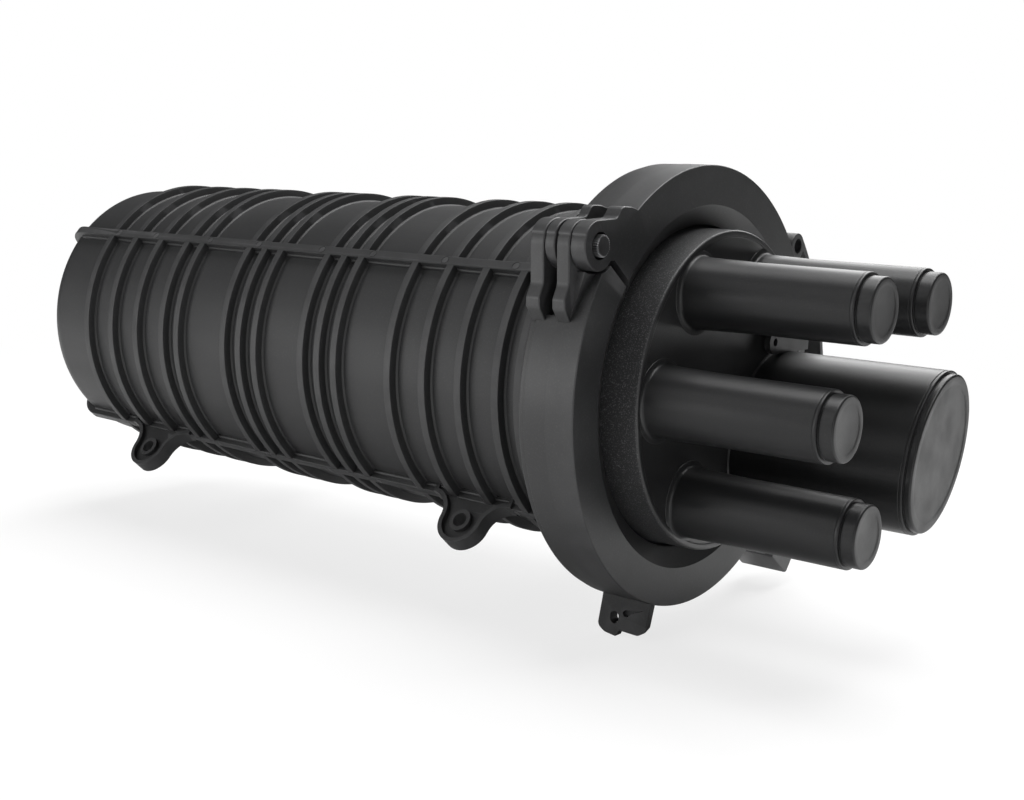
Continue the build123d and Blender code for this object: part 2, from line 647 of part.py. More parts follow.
def standing_screw(x, y, seat, depth):
    """Screw along Z with its head on a seat."""
    head = Pos(x, y, seat + SCREW_HEAD_HEIGHT / 2) * Cylinder(SCREW_HEAD_R, SCREW_HEAD_HEIGHT)
    return head + Pos(x, y, seat - depth / 2) * Cylinder(SCREW_R, depth)


def basket_screws():
    seat = CARRIER_Z + CARRIER_THICK
    depth = CARRIER_THICK + SEAT_GAP + BASKET_WALL + 2
    return Compound(children=[standing_screw(x, y, seat, depth) for x, y in basket_screw_places()])


def clamp_places():
    """(x, y) of the clamps for the cables' strength members."""
    return [(CARRIER_START_X - 12.0, side * STRENGTH_CLAMP_Y) for side in (-1, 1)]


def strength_clamp(x, y):
    """Grooved block that pins down a strength member."""
    seat = CARRIER_Z + CARRIER_THICK
    length, width, height = STRENGTH_CLAMP
    block = Pos(x, y, seat + height / 2) * Box(length, width, height)
    block = chamfer(block.edges().group_by(Axis.Z)[-1], 0.8)
    block -= Pos(x, y + width / 4 + 1, seat) * Rot(Y=90) * Cylinder(1.5, length + 2)
    return block - Pos(x, y, seat + height / 2) * Cylinder(SCREW_R + SCREW_CLEARANCE, height + 2)


def clamp_screws():
    seat = CARRIER_Z + CARRIER_THICK + STRENGTH_CLAMP[2]
    depth = STRENGTH_CLAMP[2] + CARRIER_THICK + 3
    return Compound(children=[standing_screw(x, y, seat, depth) for x, y in clamp_places()])


def earth_stud():
    """Threaded stud for the earth lead, with a flange under the carrier."""
    low = CARRIER_Z
    stud = Pos(EARTH_X, POST_Y, low + EARTH_LENGTH / 2) * Cylinder(EARTH_R, EARTH_LENGTH)
    return stud + Pos(EARTH_X, POST_Y, low - 1.25) * Cylinder(EARTH_R + 2.5, 2.5)


def earth_nut():
    seat = CARRIER_Z + CARRIER_THICK
    nut = Plane.XY.offset(seat) * Pos(EARTH_X, POST_Y) * RegularPolygon(EARTH_NUT_R, 6)
    return extrude(nut, 5) - Pos(EARTH_X, POST_Y, seat) * Cylinder(EARTH_R + SCREW_CLEARANCE, 20)


def tray_floor(index):
    """Height of a tray's underside, counted from the lowest."""
    return CARRIER_Z + CARRIER_SIDE + SEAT_GAP + index * (TRAY_HEIGHT + SEAT_GAP)


def rod_places():
    """(x, z) of the rods that the trays turn on."""
    x = TRAY_START_X + TRAY_HINGE_R + 1
    return [(x, tray_floor(index) + TRAY_HINGE_R) for index in range(TRAY_COUNT)]


def splice_tray(index):
    """Splice tray: pan with rounded corners, two fibre hubs, guide tabs and hinge eyes."""
    low = tray_floor(index)
    middle = (TRAY_START_X - TRAY_LENGTH / 2, 0)
    plane = Plane.XY.offset(low)
    pan = extrude(plane * Pos(*middle) * RectangleRounded(TRAY_LENGTH, TRAY_WIDTH, TRAY_CORNER), TRAY_HEIGHT)
    inner = RectangleRounded(TRAY_LENGTH - 2 * TRAY_WALL, TRAY_WIDTH - 2 * TRAY_WALL, TRAY_CORNER - TRAY_WALL)
    pan -= extrude(Plane.XY.offset(low + TRAY_WALL) * Pos(*middle) * inner, TRAY_HEIGHT)
    for side in (-1, 1):
        hub = Pos(middle[0] + side * TRAY_HUB_SPREAD / 2, 0, low + TRAY_HEIGHT / 2)
        pan += hub * (Cylinder(TRAY_HUB_R, TRAY_HEIGHT) - Cylinder(TRAY_HUB_R - TRAY_WALL, TRAY_HEIGHT - 2 * TRAY_WALL))
        pan -= hub * Cylinder(TRAY_HUB_R - TRAY_WALL, TRAY_HEIGHT + 2)
        for x in (middle[0] - TRAY_LENGTH / 4, middle[0], middle[0] + TRAY_LENGTH / 4):
            y = side * (TRAY_WIDTH / 2 - TRAY_WALL - TRAY_TAB / 2)
            pan += Pos(x, y, low + TRAY_HEIGHT - TRAY_WALL / 4) * Box(2 * TRAY_TAB, TRAY_TAB + 1, TRAY_WALL / 2)
    x, z = rod_places()[index]
    for side in (-1, 1):
        eye = Pos(x, side * TRAY_EYE_Y, z) * Rot(X=90) * Cylinder(TRAY_HINGE_R, TRAY_EYE_WIDTH)
        arm = box_between((TRAY_START_X - 1, side * TRAY_EYE_Y - TRAY_EYE_WIDTH / 2, low),
                          (x, side * TRAY_EYE_Y + TRAY_EYE_WIDTH / 2, low + TRAY_WALL))
        pan += eye + arm
        pan -= Pos(x, side * TRAY_EYE_Y, z) * Rot(X=90) * Cylinder(TRAY_ROD_R + SCREW_CLEARANCE, TRAY_EYE_WIDTH + 2)
    return pan


def splice_holder(index):
    """Comb that grips the splice sleeves, seated on the floor of its tray."""
    low = tray_floor(index) + TRAY_WALL
    x = TRAY_START_X - TRAY_LENGTH / 2
    comb = Pos(x, 0, low + HOLDER_HEIGHT / 2) * Box(HOLDER_LENGTH, HOLDER_WIDTH, HOLDER_HEIGHT)
    pitch = HOLDER_WIDTH / HOLDER_SLOTS
    for slot in range(HOLDER_SLOTS):
        y = (slot + 0.5) * pitch - HOLDER_WIDTH / 2
        comb -= Pos(x, y, low + HOLDER_HEIGHT) * Box(HOLDER_LENGTH + 2, 0.55 * pitch, HOLDER_HEIGHT)
    return comb


def stack_top():
    return tray_floor(TRAY_COUNT - 1) + TRAY_HEIGHT


def tray_cover():
    """Lid on the top tray."""
    plane = Plane.XY.offset(stack_top() + SEAT_GAP)
    outline = RectangleRounded(TRAY_LENGTH, TRAY_WIDTH, TRAY_CORNER)
    return extrude(plane * Pos(TRAY_START_X - TRAY_LENGTH / 2, 0) * outline, COVER_THICK)


def tray_riser():
    """Two drilled cheeks that carry the trays' rods, on a foot plate."""
    seat = CARRIER_Z + CARRIER_THICK
    x = rod_places()[0][0]
    top = rod_places()[-1][1] + TRAY_HINGE_R
    half = TRAY_EYE_Y - TRAY_EYE_WIDTH / 2 - SEAT_GAP
    riser = box_between((x - RISER_DEPTH / 2, -half, seat), (x + RISER_DEPTH / 2, half, seat + CARRIER_THICK))
    for side in (-1, 1):
        y0, y1 = sorted((side * half, side * (half - RISER_THICK)))
        riser += box_between((x - RISER_DEPTH / 2, y0, seat), (x + RISER_DEPTH / 2, y1, top))
    for rod_x, z in rod_places():
        riser -= Pos(rod_x, 0, z) * Rot(X=90) * Cylinder(TRAY_ROD_R + SCREW_CLEARANCE, 3 * half)
    return riser


def tray_rods():
    length = 2 * TRAY_EYE_Y + TRAY_EYE_WIDTH
    return Compound(children=[Pos(x, 0, z) * Rot(X=90) * Cylinder(TRAY_ROD_R, length) for x, z in rod_places()])


def tray_strap():
    """Band that holds the stack down on the carrier."""
    half = TRAY_WIDTH / 2 + SEAT_GAP
    low = CARRIER_Z - SEAT_GAP
    high = stack_top() + 2 * SEAT_GAP + COVER_THICK
    x = STRAP_X
    outer = box_between((x - STRAP_WIDTH / 2, -half - STRAP_THICK, low - STRAP_THICK),
                        (x + STRAP_WIDTH / 2, half + STRAP_THICK, high + STRAP_THICK))
    outer = fillet(outer.edges().filter_by(Axis.X), 2)
    return outer - box_between((x - STRAP_WIDTH, -half, low), (x + STRAP_WIDTH, half, high))


def build():
    """Every node of the closure, by name."""
    nodes = {
        "dome": dome(),
        "base": base(),
        "seal_ring": seal_ring(),
        "clamp_lower": clamp_lower(),
        "clamp_upper": clamp_upper(),
        "hinge_pin": hinge_pin(),
        "latch_lever": latch_lever(),
        "latch_pin": latch_pin(),
        "tray_carrier": tray_carrier(),
        "carrier_screws": carrier_screws(),
        "slack_basket": slack_basket(),
        "basket_screws": basket_screws(),
        "clamp_screws": clamp_screws(),
        "earth_stud": earth_stud(),
        "earth_nut": earth_nut(),
        "tray_riser": tray_riser(),
        "tray_rods": tray_rods(),
        "tray_cover": tray_cover(),
        "tray_strap": tray_strap(),
    }
    for name, (x, y) in zip(("strength_clamp_near", "strength_clamp_far"), clamp_places()):
        nodes[name] = strength_clamp(x, y)
    for index in range(TRAY_COUNT):
        nodes["splice_tray_" + str(index + 1)] = splice_tray(index)
        nodes["splice_holder_" + str(index + 1)] = splice_holder(index)
    return nodes


def main():
    os.makedirs("parts", exist_ok=True)
    nodes = build()
    boxes = [node.bounding_box() for node in nodes.values()]
    low = [min(getattr(box.min, axis) for box in boxes) for axis in "XYZ"]
    high = [max(getattr(box.max, axis) for box in boxes) for axis in "XYZ"]
    shift = Pos(-(low[0] + high[0]) / 2, -(low[1] + high[1]) / 2, -low[2])
    print("axis at", shift.position)
    for name, node in nodes.items():
        export_step(shift * node, os.path.join("parts", name + ".step"))


main()
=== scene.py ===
"""Visual model of a lying fibre splice closure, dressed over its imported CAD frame.

Every shape is drawn in millimetres about the closure's own axis, with x = 0 at the front
face of the clamp, +X towards the cable ports and +Z up. Angles round the axis are in
degrees, from +Y towards +Z. A finished piece is moved into the row frame, in metres.
"""

from __future__ import annotations

import json
import logging
import math
from dataclasses import dataclass
from enum import Enum
from typing import Callable, Iterable, Sequence

import bpy
from mathutils import Matrix, Vector

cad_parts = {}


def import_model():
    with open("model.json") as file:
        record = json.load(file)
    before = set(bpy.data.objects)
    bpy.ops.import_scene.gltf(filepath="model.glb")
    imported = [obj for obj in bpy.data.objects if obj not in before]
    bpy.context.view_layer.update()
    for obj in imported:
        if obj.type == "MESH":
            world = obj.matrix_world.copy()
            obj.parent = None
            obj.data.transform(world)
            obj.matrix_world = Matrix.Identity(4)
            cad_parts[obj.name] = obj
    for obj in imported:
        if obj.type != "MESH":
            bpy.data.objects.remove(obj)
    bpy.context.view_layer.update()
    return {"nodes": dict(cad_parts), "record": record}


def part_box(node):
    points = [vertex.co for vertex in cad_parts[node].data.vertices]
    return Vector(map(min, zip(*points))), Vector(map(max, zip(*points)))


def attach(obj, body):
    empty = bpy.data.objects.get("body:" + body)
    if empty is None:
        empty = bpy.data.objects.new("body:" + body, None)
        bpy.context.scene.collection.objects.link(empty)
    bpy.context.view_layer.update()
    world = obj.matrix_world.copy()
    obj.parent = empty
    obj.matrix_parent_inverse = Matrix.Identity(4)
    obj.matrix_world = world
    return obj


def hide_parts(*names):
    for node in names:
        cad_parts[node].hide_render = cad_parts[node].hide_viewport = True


LOG = logging.getLogger("splice_closure")
MM = 0.001

Flat = tuple[float, float]
Point = tuple[float, float, float]
Colour = tuple[float, float, float, float]

ORIGIN: Point = (0.0, 0.0, 0.0)
WHITE: Colour = (1.0, 1.0, 1.0, 1.0)
SEAM_ANGLE = 90.0
WELD = 0.0005
STRAIGHT_CORNER = 88.0
CORNER_SHARE = 0.45


class Body(Enum):
    """Moving bodies of the closure, as the record names them."""

    ROOT = "root"
    CLAMP_HALF = "clamp_half"
    LATCH = "latch"


class Slot(Enum):
    """Material slots of the record."""

    DOME = "dome_plastic"
    BASE = "base_plastic"
    CLAMP = "clamp_plastic"
    STEEL = "pin_steel"
    RUBBER = "seal_rubber"
    METAL = "carrier_metal"
    TRAY = "tray_plastic"
    HOLDER = "holder_plastic"
    BRASS = "brass"
    TAPE = "strap_fabric"


class Sense(Enum):
    """Which way a hook runs round the axis, seen from the ports."""

    UP = 1
    DOWN = -1


def at(radius: float, angle: float) -> Flat:
    """Gives the (y, z) point at a radius and an angle round the axis."""
    return (radius * math.cos(math.radians(angle)), radius * math.sin(math.radians(angle)))


def along(start: Flat, angle: float, distance: float) -> Flat:
    """Gives the (y, z) point at a distance from another, in a direction."""
    step = at(distance, angle)
    return (start[0] + step[0], start[1] + step[1])


def heading(centre: Flat, point: Flat) -> float:
    """Gives the direction in degrees from a centre to a point."""
    return math.degrees(math.atan2(point[1] - centre[1], point[0] - centre[0]))


def arc(centre: Flat, radius: float, start: float, stop: float, steps: int) -> list[Flat]:
    """Lists points on an arc.

    Args:
        centre: Middle of the circle.
        radius: Radius of the circle.
        start: First direction in degrees.
        stop: Last direction in degrees; it may be less than the first.
        steps: Number of chords.

    Returns:
        The points, first and last included.
    """
    return [along(centre, start + (stop - start) * i / steps, radius) for i in range(steps + 1)]


def circle_through(a: Flat, b: Flat, c: Flat) -> Flat:
    """Gives the middle of the circle through three points.

    Args:
        a: First point.
        b: Second point.
        c: Third point.

    Returns:
        The circle's middle.
    """
    d = 2.0 * (a[0] * (b[1] - c[1]) + b[0] * (c[1] - a[1]) + c[0] * (a[1] - b[1]))
    qa, qb, qc = (p[0] ** 2 + p[1] ** 2 for p in (a, b, c))
    return (
        (qa * (b[1] - c[1]) + qb * (c[1] - a[1]) + qc * (a[1] - b[1])) / d,
        (qa * (c[0] - b[0]) + qb * (a[0] - c[0]) + qc * (b[0] - a[0])) / d,
    )


def rounded(corners: Sequence[Point], closed: bool = False, steps: int = 3) -> list[Flat]:
    """Rounds each corner of an outline to its own radius.

    Args:
        corners: (u, v, radius) of each corner.
        closed: Whether the last corner joins the first.
        steps: Number of chords at each rounded corner.

    Returns:
        The points of the rounded outline.
    """
    points: list[Flat] = []
    count = len(corners)
    for i, (u, v, radius) in enumerate(corners):
        end = not closed and i in (0, count - 1)
        if end or radius <= 0.0:
            points.append((u, v))
            continue
        here = Vector((u, v))
        back = Vector(corners[i - 1][:2]) - here
        ahead = Vector(corners[(i + 1) % count][:2]) - here
        half = back.angle(ahead) / 2.0
        if half > math.radians(STRAIGHT_CORNER):
            points.append((u, v))
            continue
        room = CORNER_SHARE * min(back.length, ahead.length)
        reach = min(radius / math.tan(half), room)
        true_radius = reach * math.tan(half)
        first = here + back.normalized() * reach
        last = here + ahead.normalized() * reach
        halfway = (back.normalized() + ahead.normalized()).normalized()
        middle = here + halfway * (true_radius / math.sin(half))
        turn = (last - middle).angle_signed(first - middle)
        for k in range(steps + 1):
            spoke = (first - middle).copy()
            spoke.rotate(Matrix.Rotation(turn * k / steps, 2))
            points.append(tuple(middle + spoke))
    return points


class Bench:
    """Blender's modelling operators, used as by hand, in millimetres."""

    @staticmethod
    def clear() -> None:
        """Leaves edit mode and deselects everything."""
        if bpy.context.mode != "OBJECT":
            bpy.ops.object.mode_set(mode="OBJECT")
        bpy.ops.object.select_all(action="DESELECT")

    @staticmethod
    def take(piece: bpy.types.Object) -> None:
        """Selects one object and makes it active.

        Args:
            piece: Object to work on.
        """
        Bench.clear()
        piece.select_set(True)
        bpy.context.view_layer.objects.active = piece

    @staticmethod
    def close_up(piece: bpy.types.Object) -> bpy.types.Object:
        """Merges doubles, turns the faces outwards and leaves edit mode.

        Args:
            piece: Object in edit mode.

        Returns:
            The same object.
        """
        bpy.ops.mesh.select_all(action="SELECT")
        bpy.ops.mesh.remove_doubles(threshold=WELD)
        bpy.ops.mesh.normals_make_consistent(inside=False)
        bpy.ops.object.mode_set(mode="OBJECT")
        return piece

    @staticmethod
    def trace(name: str, points: Sequence[Point]) -> bpy.types.Object:
        """Draws a chain of edges by extruding one vertex from point to point.

        Args:
            name: Name of the new object.
            points: Points of the chain, in order.

        Returns:
            The object, left in edit mode.
        """
        Bench.clear()
        bpy.ops.mesh.primitive_plane_add(size=1.0, location=ORIGIN)
        piece = bpy.context.object
        piece.name = name
        bpy.ops.object.mode_set(mode="EDIT")
        bpy.ops.mesh.select_mode(type="VERT")
        bpy.ops.mesh.select_all(action="SELECT")
        bpy.ops.mesh.merge(type="CENTER")
        bpy.ops.transform.translate(value=points[0])
        for here, there in zip(points, points[1:]):
            step = Vector(there) - Vector(here)
            bpy.ops.mesh.extrude_vertices_move(TRANSFORM_OT_translate={"value": step})
        return piece

    @staticmethod
    def plate(name: str, points: Sequence[Point], push: Point) -> bpy.types.Object:
        """Fills a closed outline and extrudes it.

        Args:
            name: Name of the new object.
            points: Corners of the outline, all in one plane.
            push: Direction and depth of the extrusion.

        Returns:
            The closed solid.
        """
        piece = Bench.trace(name, points)
        bpy.ops.mesh.select_all(action="SELECT")
        bpy.ops.mesh.edge_face_add()
        bpy.ops.mesh.extrude_region_move(TRANSFORM_OT_translate={"value": push})
        return Bench.close_up(piece)

    @staticmethod
    def slab(name: str, outline: Iterable[Flat], x0: float, x1: float) -> bpy.types.Object:
        """Extrudes a (y, z) outline along X from x0 to x1."""
        return Bench.plate(name, [(x0, y, z) for y, z in outline], (x1 - x0, 0.0, 0.0))

    @staticmethod
    def upright(name: str, outline: Iterable[Flat], half: float) -> bpy.types.Object:
        """Extrudes an (x, y) outline along Z, by half its thickness to each side."""
        return Bench.plate(name, [(x, y, -half) for x, y in outline], (0.0, 0.0, 2.0 * half))

    @staticmethod
    def turned(name: str, profile: Sequence[Flat], steps: int) -> bpy.types.Object:
        """Spins an (x, radius) profile a full turn about the axis.

        Args:
            name: Name of the new object.
            profile: Points of the profile, which starts and ends on the axis.
            steps: Number of faces round the turn.

        Returns:
            The closed solid.
        """
        piece = Bench.trace(name, [(x, *at(r, SEAM_ANGLE)) for x, r in profile])
        bpy.ops.mesh.select_all(action="SELECT")
        bpy.ops.mesh.spin(steps=steps, angle=math.tau, center=ORIGIN, axis=(1.0, 0.0, 0.0),
                          use_auto_merge=True)
        return Bench.close_up(piece)

    @staticmethod
    def part_turn(name: str, section: Sequence[Flat], start: float, stop: float,
                  steps: int) -> bpy.types.Object:
        """Spins a closed (x, radius) section part of a turn.

        Args:
            name: Name of the new object.
            section: Corners of the section.
            start: Direction of the first end.
            stop: Direction of the last end.
            steps: Number of faces along the turn.

        Returns:
            The closed solid.
        """
        piece = Bench.trace(name, [(x, *at(r, start)) for x, r in section])
        bpy.ops.mesh.select_all(action="SELECT")
        bpy.ops.mesh.edge_face_add()
        bpy.ops.mesh.spin(steps=steps, angle=math.radians(stop - start), center=ORIGIN,
                          axis=(-1.0, 0.0, 0.0), use_auto_merge=False)
        return Bench.close_up(piece)

    @staticmethod
    def apply(piece: bpy.types.Object) -> bpy.types.Object:
        """Applies an object's place, turn and scale to its mesh."""
        bpy.ops.object.transform_apply(location=True, rotation=True, scale=True)
        return piece

    @staticmethod
    def fresh(name: str, ease: float) -> bpy.types.Object:
        """Names the primitive just added, applies its place and eases its edges.

        Args:
            name: Name that it gets.
            ease: Width of the rounding, or zero for none.

        Returns:
            The primitive.
        """
        piece = Bench.apply(bpy.context.object)
        piece.name = name
        return Bench.ease(piece, ease) if ease > 0.0 else piece

    @staticmethod
    def rod(name: str, centre: Flat, radius: float, x0: float, x1: float, sides: int = 64,
            ease: float = 0.0) -> bpy.types.Object:
        """Makes a cylinder along X, with its end edges eased.

        Args:
            name: Name of the new object.
            centre: Middle of the circle, as (y, z).
            radius: Radius of the cylinder.
            x0: Place of its back end.
            x1: Place of its front end.
            sides: Number of faces round it.
            ease: Width of the rounding, or zero for none.

        Returns:
            The closed solid.
        """
        Bench.clear()
        bpy.ops.mesh.primitive_cylinder_add(vertices=sides, radius=radius, depth=x1 - x0,
                                            location=((x0 + x1) / 2.0, centre[0], centre[1]),
                                            rotation=(0.0, math.pi / 2.0, 0.0))
        return Bench.fresh(name, ease)

    @staticmethod
    def block(name: str, low: Point, high: Point, ease: float) -> bpy.types.Object:
        """Makes a box between two corners, with its edges eased.

        Args:
            name: Name of the new object.
            low: Its lowest corner.
            high: Its highest corner.
            ease: Width of the rounding.

        Returns:
            The closed solid.
        """
        Bench.clear()
        middle = [(a + b) / 2.0 for a, b in zip(low, high)]
        bpy.ops.mesh.primitive_cube_add(size=1.0, location=middle)
        bpy.context.object.scale = [b - a for a, b in zip(low, high)]
        return Bench.fresh(name, ease)

    @staticmethod
    def ease(piece: bpy.types.Object, width: float, segments: int = 2,
             angle: float = 35.0) -> bpy.types.Object:
        """Rounds every edge that is sharper than an angle.

        Args:
            piece: Solid to work on.
            width: Width of the rounding.
            segments: Number of faces across it.
            angle: Edges between faces that meet at less than this stay.

        Returns:
            The same object.
        """
        Bench.take(piece)
        bpy.ops.object.modifier_add(type="BEVEL")
        bevel = piece.modifiers[-1]
        bevel.width = width
        bevel.segments = segments
        bevel.limit_method = "ANGLE"
        bevel.angle_limit = math.radians(angle)
        bevel.use_clamp_overlap = True
        bpy.ops.object.modifier_apply(modifier=bevel.name)
        return piece

    @staticmethod
    def _combine(piece: bpy.types.Object, tools: Iterable[bpy.types.Object],
                 operation: str) -> bpy.types.Object:
        """Applies a boolean with each tool in turn and deletes the tools.

        Args:
            piece: Solid to work on.
            tools: Solids to join to it or cut from it.
            operation: UNION or DIFFERENCE.

        Returns:
            The same object.
        """
        for tool in tools:
            Bench.take(piece)
            bpy.ops.object.modifier_add(type="BOOLEAN")
            step = piece.modifiers[-1]
            step.object = tool
            step.operation = operation
            step.solver = "MANIFOLD"
            bpy.ops.object.modifier_apply(modifier=step.name)
            bpy.data.objects.remove(tool)
        return piece

    @staticmethod
    def unite(piece: bpy.types.Object, *tools: bpy.types.Object) -> bpy.types.Object:
        """Joins the tools to a solid as one skin."""
        return Bench._combine(piece, tools, "UNION")

    @staticmethod
    def cut(piece: bpy.types.Object, *tools: bpy.types.Object) -> bpy.types.Object:
        """Cuts the tools out of a solid."""
        return Bench._combine(piece, tools, "DIFFERENCE")

    @staticmethod
    def copy(piece: bpy.types.Object, name: str) -> bpy.types.Object:
        """Duplicates a piece together with its mesh.

        Args:
            piece: Solid to copy.
            name: Name of the copy.

        Returns:
            The copy.
        """
        Bench.take(piece)
        bpy.ops.object.duplicate(linked=False)
        twin = bpy.context.object
        twin.name = name
        return twin

    @staticmethod
    def move(piece: bpy.types.Object, x: float = 0.0, y: float = 0.0, z: float = 0.0,
             swing: float = 0.0) -> bpy.types.Object:
        """Swings a piece about the axis, then shifts it, and applies both to its mesh.

        Args:
            piece: Solid to move.
            x: Shift along the axis.
            y: Shift along Y.
            z: Shift along Z.
            swing: Turn about the axis, in degrees.

        Returns:
            The same object.
        """
        Bench.take(piece)
        piece.rotation_euler = (math.radians(swing), 0.0, 0.0)
        piece.location = (x, y, z)
        return Bench.apply(piece)

    @staticmethod
    def coat(piece: bpy.types.Object, *finishes: bpy.types.Material) -> None:
        """Gives a piece its finishes, the first one on every face.

        Args:
            piece: Solid to dress.
            finishes: Its materials, in the order of their slots.
        """
        piece.data.materials.clear()
        for finish in finishes:
            piece.data.materials.append(finish)
        piece.data.polygons.foreach_set("material_index", [0] * len(piece.data.polygons))

    @staticmethod
    def pick_faces(piece: bpy.types.Object, test: Callable[[bpy.types.MeshPolygon], bool]) -> None:
        """Enters edit mode with only the faces that pass a test selected.

        Args:
            piece: Solid to work on.
            test: Says whether a face is picked.
        """
        Bench.take(piece)
        bpy.ops.object.mode_set(mode="EDIT")
        bpy.ops.mesh.select_mode(type="FACE")
        bpy.ops.mesh.select_all(action="DESELECT")
        bpy.ops.object.mode_set(mode="OBJECT")
        for face in piece.data.polygons:
            face.select = test(face)
        bpy.ops.object.mode_set(mode="EDIT")


@dataclass(frozen=True)
class Datum:
    """Where the closure's own axis and front datum lie in the row frame."""

    origin: Vector

    @classmethod
    def from_frame(cls) -> Datum:
        """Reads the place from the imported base, whose flange is round about the axis.

        Returns:
            The datum.
        """
        low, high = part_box("base")
        front = low.x - PortBase.skirt_end * MM
        return cls(Vector((front, (low.y + high.y) / 2.0, (low.z + high.z) / 2.0)))

    def point(self, x: float, y: float, z: float) -> Vector:
        """Gives a point of the closure in the row frame."""
        return self.origin + Vector((x, y, z)) * MM

    def seat(self, piece: bpy.types.Object, body: Body, node: str,
             angle: float = 38.0) -> None:
        """Args:
            piece: The finished solid, in millimetres.
            body: Body that it rides on.
            node: CAD node that it stands for.
            angle: Faces that meet at less than this are shaded as one surface.
        """
        Bench.take(piece)
        piece.scale = (MM, MM, MM)
        piece.location = self.origin
        Bench.apply(piece)
        bpy.ops.object.shade_smooth_by_angle(angle=math.radians(angle))
        bpy.ops.object.modifier_add(type="WEIGHTED_NORMAL")
        weighting = piece.modifiers[-1]
        weighting.keep_sharp = True
        bpy.ops.object.modifier_apply(modifier=weighting.name)
        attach(piece, body.value)
        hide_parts(node)
        LOG.info("%s: %d faces, on %s", piece.name, len(piece.data.polygons), body.value)


def add_node(tree: bpy.types.NodeTree, kind: str,
             **inputs: float | Sequence[float]) -> bpy.types.Node:
    """Adds a node to a shader tree.

    Args:
        tree: Tree that gets the node.
        kind: Type of the node, without its ShaderNode prefix.
        inputs: Values by input name, with an underscore for each space.

    Returns:
        The new node.
    """
    node = tree.nodes.new("ShaderNode" + kind)
    for name, value in inputs.items():
        node.inputs[name.replace("_", " ")].default_value = value
    return node


def emptied(owner: bpy.types.Material | bpy.types.World) -> bpy.types.NodeTree:
    """Turns on the nodes of a material or world and clears them.

    Args:
        owner: Material or world.

    Returns:
        Its empty node tree.
    """
    owner.use_nodes = True
    owner.node_tree.nodes.clear()
    return owner.node_tree


class Nodes:
    """Small helper that lays out a material's node tree."""

    def __init__(self, name: str) -> None:
        """Creates an empty material with a Principled shader and object coordinates.

        Args:
            name: Name of the material.
        """
        self.material = bpy.data.materials.new(name)
        self.tree = emptied(self.material)
        self.output = add_node(self.tree, "OutputMaterial")
        self.shader = add_node(self.tree, "BsdfPrincipled")
        self.link(self.shader.outputs["BSDF"], self.output.inputs["Surface"])
        self.coords = add_node(self.tree, "TexCoord").outputs["Object"]

    def link(self, source: bpy.types.NodeSocket, target: bpy.types.NodeSocket) -> None:
        """Joins two sockets."""
        self.tree.links.new(source, target)

    def stretched(self, scale: Point) -> bpy.types.NodeSocket:
        """Gives the object coordinates scaled along each axis.

        Args:
            scale: Scale along X, Y and Z.

        Returns:
            The scaled coordinates.
        """
        mapping = add_node(self.tree, "Mapping", Scale=scale)
        self.link(self.coords, mapping.inputs["Vector"])
        return mapping.outputs["Vector"]

    def noise(self, scale: float, detail: float, vector: bpy.types.NodeSocket | None = None,
              roughness: float = 0.5) -> bpy.types.NodeSocket:
        """Adds a noise pattern.

        Args:
            scale: Cells to the metre.
            detail: Octaves of finer noise.
            vector: Coordinates, or None for plain object coordinates.
            roughness: Weight of the finer octaves.

        Returns:
            The pattern's value, from 0 to 1.
        """
        texture = add_node(self.tree, "TexNoise", Scale=scale, Detail=detail, Roughness=roughness)
        self.link(vector or self.coords, texture.inputs["Vector"])
        return texture.outputs["Fac"]

    def ranged(self, value: bpy.types.NodeSocket, low: float, high: float, to_low: float,
               to_high: float) -> bpy.types.NodeSocket:
        """Maps a value from one range to another, held at the ends.

        Args:
            value: Value to map.
            low: Start of its range.
            high: End of its range.
            to_low: Result at the start.
            to_high: Result at the end.

        Returns:
            The mapped value.
        """
        node = add_node(self.tree, "MapRange", From_Min=low, From_Max=high, To_Min=to_low,
                        To_Max=to_high)
        self.link(value, node.inputs["Value"])
        return node.outputs["Result"]

    def mixed(self, factor: bpy.types.NodeSocket, first: Colour | bpy.types.NodeSocket,
              second: Colour) -> bpy.types.NodeSocket:
        """Mixes a second colour over a first one.

        Args:
            factor: Share of the second colour.
            first: Colour underneath.
            second: Colour on top.

        Returns:
            The mixed colour.
        """
        node = add_node(self.tree, "Mix")
        node.data_type = "RGBA"
        self.link(factor, node.inputs["Factor"])
        if isinstance(first, bpy.types.NodeSocket):
            self.link(first, node.inputs["A"])
        else:
            node.inputs["A"].default_value = first
        node.inputs["B"].default_value = second
        return node.outputs["Result"]

    def sharp_edges(self, low: float, high: float) -> bpy.types.NodeSocket:
        """Gives 1 on sharp outer edges and 0 elsewhere, from the surface's pointiness."""
        geometry = add_node(self.tree, "NewGeometry")
        return self.ranged(geometry.outputs["Pointiness"], low, high, 0.0, 1.0)

    def product(self, first: bpy.types.NodeSocket,
                second: bpy.types.NodeSocket) -> bpy.types.NodeSocket:
        """Multiplies two values.

        Args:
            first: First value.
            second: Second value.

        Returns:
            Their product.
        """
        node = add_node(self.tree, "Math")
        node.operation = "MULTIPLY"
        self.link(first, node.inputs[0])
        self.link(second, node.inputs[1])
        return node.outputs["Value"]

    def bump(self, height: bpy.types.NodeSocket, depth: float, strength: float,
             under: bpy.types.NodeSocket | None = None) -> bpy.types.NodeSocket:
        """Adds a bump of a depth in metres, over another one where given.

        Args:
            height: Pattern that is raised.
            depth: Height of the pattern in metres.
            strength: Strength from 0 to 1.
            under: Normal of a bump underneath.

        Returns:
            The bumped normal.
        """
        node = add_node(self.tree, "Bump", Strength=strength, Distance=depth)
        self.link(height, node.inputs["Height"])
        if under is not None:
            self.link(under, node.inputs["Normal"])
        return node.outputs["Normal"]


